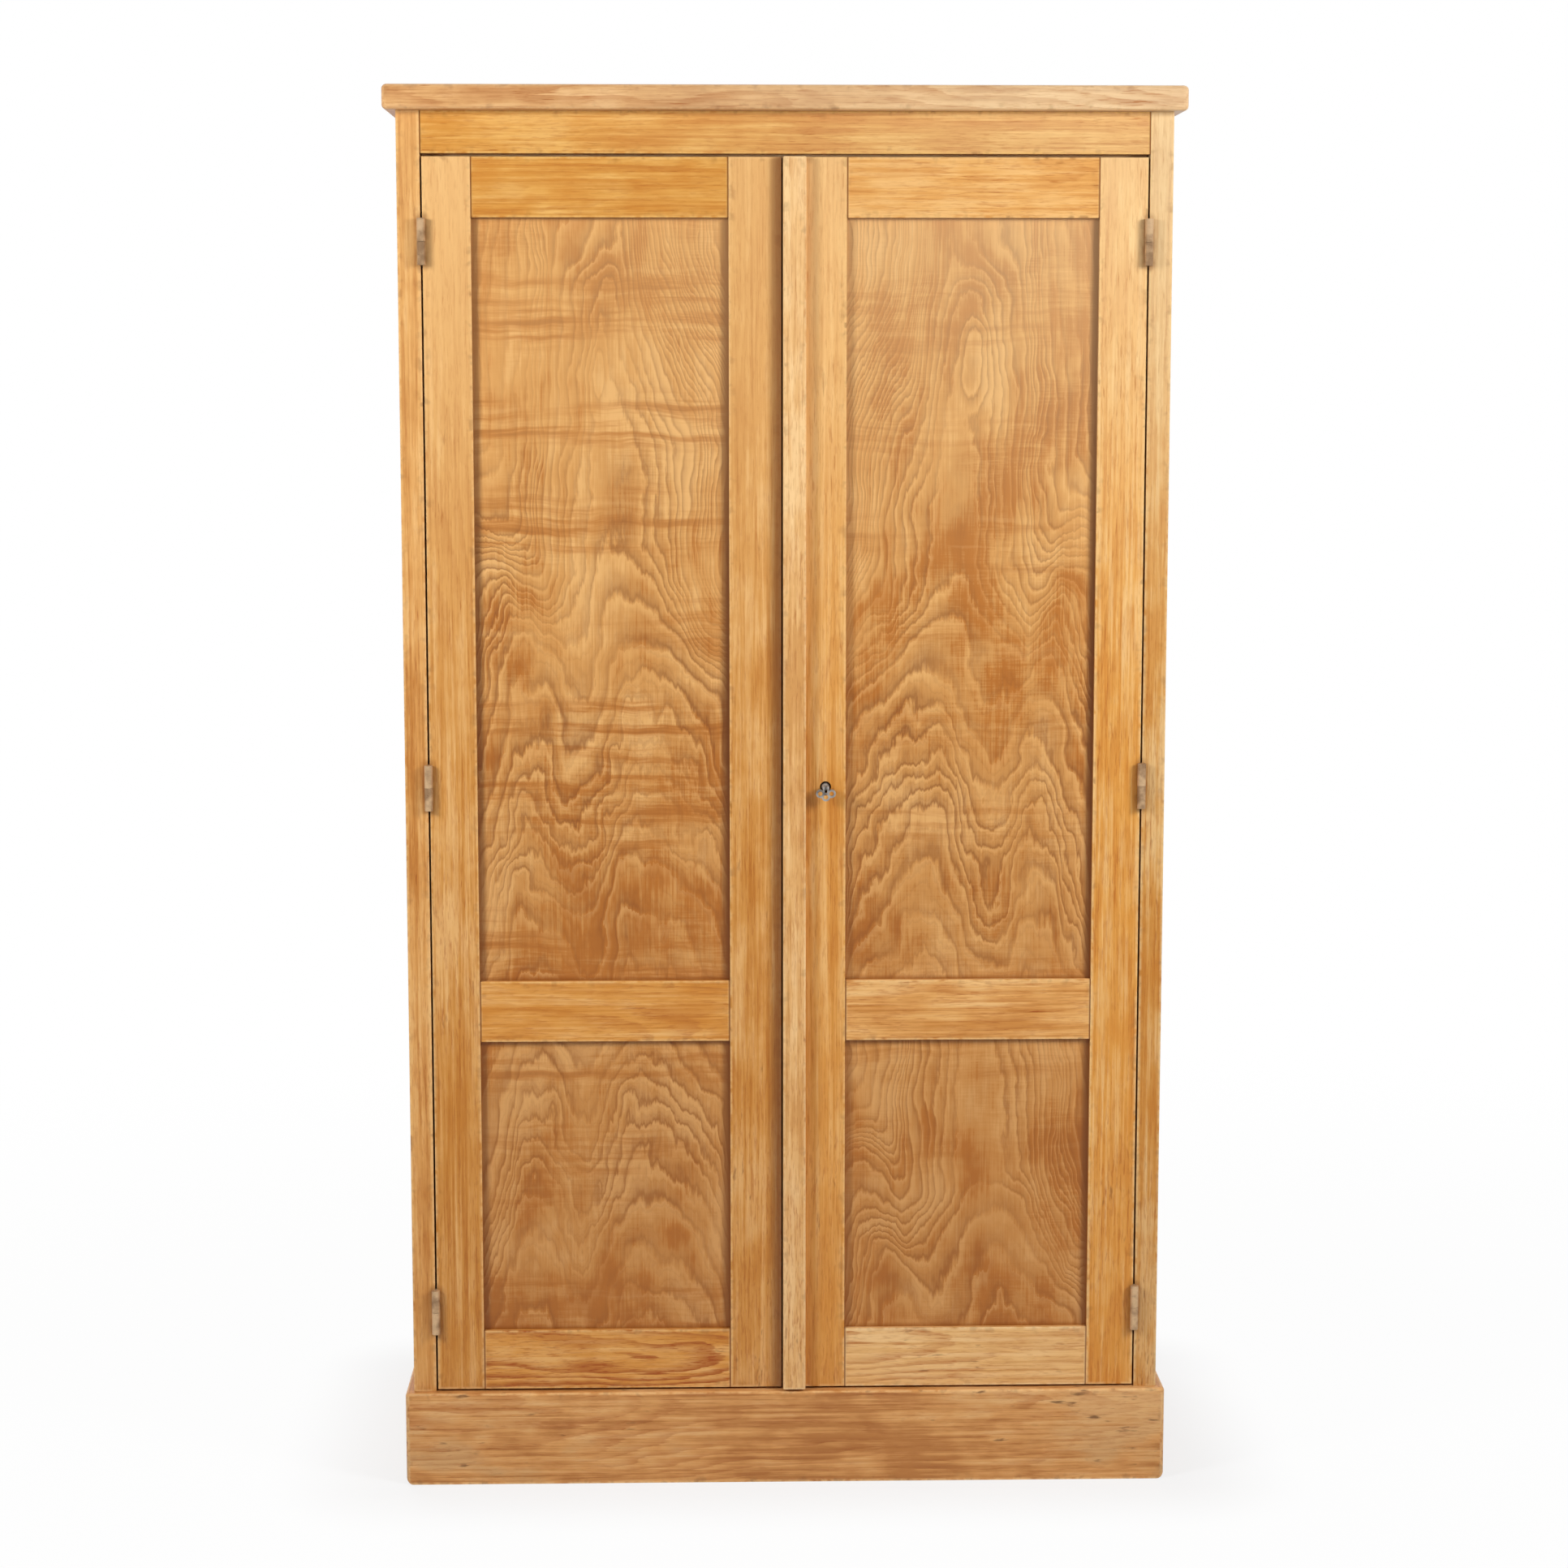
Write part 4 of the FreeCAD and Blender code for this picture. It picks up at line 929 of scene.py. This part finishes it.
def stage_floor():
    """A pale floor that goes over into white away from the object."""
    mesh = bpy.data.meshes.new("floor")
    corners = [(x * FLOOR_REACH, y * FLOOR_REACH, 0.0) for x, y in ((-1, -1), (1, -1), (1, 1), (-1, 1))]
    mesh.from_pydata(corners, [], [(0, 1, 2, 3)])
    floor = bpy.data.objects.new("floor", mesh)
    bpy.context.scene.collection.objects.link(floor)
    finish = bpy.data.materials.new("floor")
    finish.use_nodes = True
    tree = finish.node_tree
    tree.nodes.clear()
    place = tree.nodes.new("ShaderNodeTexCoord")
    spot = Field(tree, place.outputs["Object"])
    x, y, _ = split(spot)
    aside = (x.math("ABSOLUTE") - cad_box[1][0]).math("MAXIMUM", 0.0)
    ahead = (y.math("ABSOLUTE") - cad_box[1][1]).math("MAXIMUM", 0.0)
    gap = (aside * aside + ahead * ahead).math("SQRT")
    share = gap.ramp(0.0, SHADE_STEP_REACH, SHADE_NEAR, SHADE_STEP)
    share = share + gap.ramp(SHADE_STEP_REACH, SHADE_FAR_REACH, 0.0, 1.0 - SHADE_STEP)
    glow = tree.nodes.new("ShaderNodeEmission")
    glow.inputs["Strength"].default_value = 1.0
    paper = tree.nodes.new("ShaderNodeBsdfDiffuse")
    grain = noise(spot.scaled(FLOOR_GRAIN), 1.0, 2.0)
    feed(paper.inputs["Color"], mixed(grain, *FLOOR_TONES))
    mix = tree.nodes.new("ShaderNodeMixShader")
    feed(mix.inputs[0], seen_plainly(tree) * share)
    tree.links.new(paper.outputs[0], mix.inputs[1])
    tree.links.new(glow.outputs[0], mix.inputs[2])
    sink = tree.nodes.new("ShaderNodeOutputMaterial")
    tree.links.new(mix.outputs[0], sink.inputs["Surface"])
    mesh.materials.append(finish)


def surround():
    """White to the camera and to reflections, a softer level as light on the object."""
    world = bpy.data.worlds.new("surround")
    world.use_nodes = True
    tree = world.node_tree
    tree.nodes.clear()
    back = tree.nodes.new("ShaderNodeBackground")
    back.inputs["Color"].default_value = (1.0, 1.0, 1.0, 1.0)
    feed(back.inputs["Strength"], seen_plainly(tree) * (1.0 - AMBIENT) + AMBIENT)
    sink = tree.nodes.new("ShaderNodeOutputWorld")
    tree.links.new(back.outputs[0], sink.inputs["Surface"])
    bpy.context.scene.world = world


def soft_light(name, place, target, width, height, watts):
    """A rectangular lamp that neither the camera nor gloss on the object sees."""
    lamp = bpy.data.lights.new(name, "AREA")
    lamp.shape = "RECTANGLE"
    lamp.size = width
    lamp.size_y = height
    lamp.energy = watts
    light = bpy.data.objects.new(name, lamp)
    light.location = place
    light.rotation_euler = (Vector(target) - Vector(place)).to_track_quat("-Z", "Y").to_euler()
    light.visible_camera = False
    light.visible_glossy = False
    bpy.context.scene.collection.objects.link(light)


def photo_camera():
    """The camera at the photograph's viewing angle."""
    lens = bpy.data.cameras.new("camera")
    lens.sensor_width = SENSOR_MM
    lens.lens = FOCAL_LENGTH_PX / PHOTO_SIDE_PX * SENSOR_MM
    camera = bpy.data.objects.new("camera", lens)
    camera.location = CAMERA_PLACE
    camera.rotation_euler = (math.radians(CAMERA_PITCH_DEGREES), 0.0, math.radians(CAMERA_TURN_DEGREES))
    bpy.context.scene.collection.objects.link(camera)
    bpy.context.scene.camera = camera


stage_floor()
surround()
for light in LIGHTS:
    soft_light(*light)
photo_camera()
bpy.context.scene.view_settings.view_transform = "Standard"
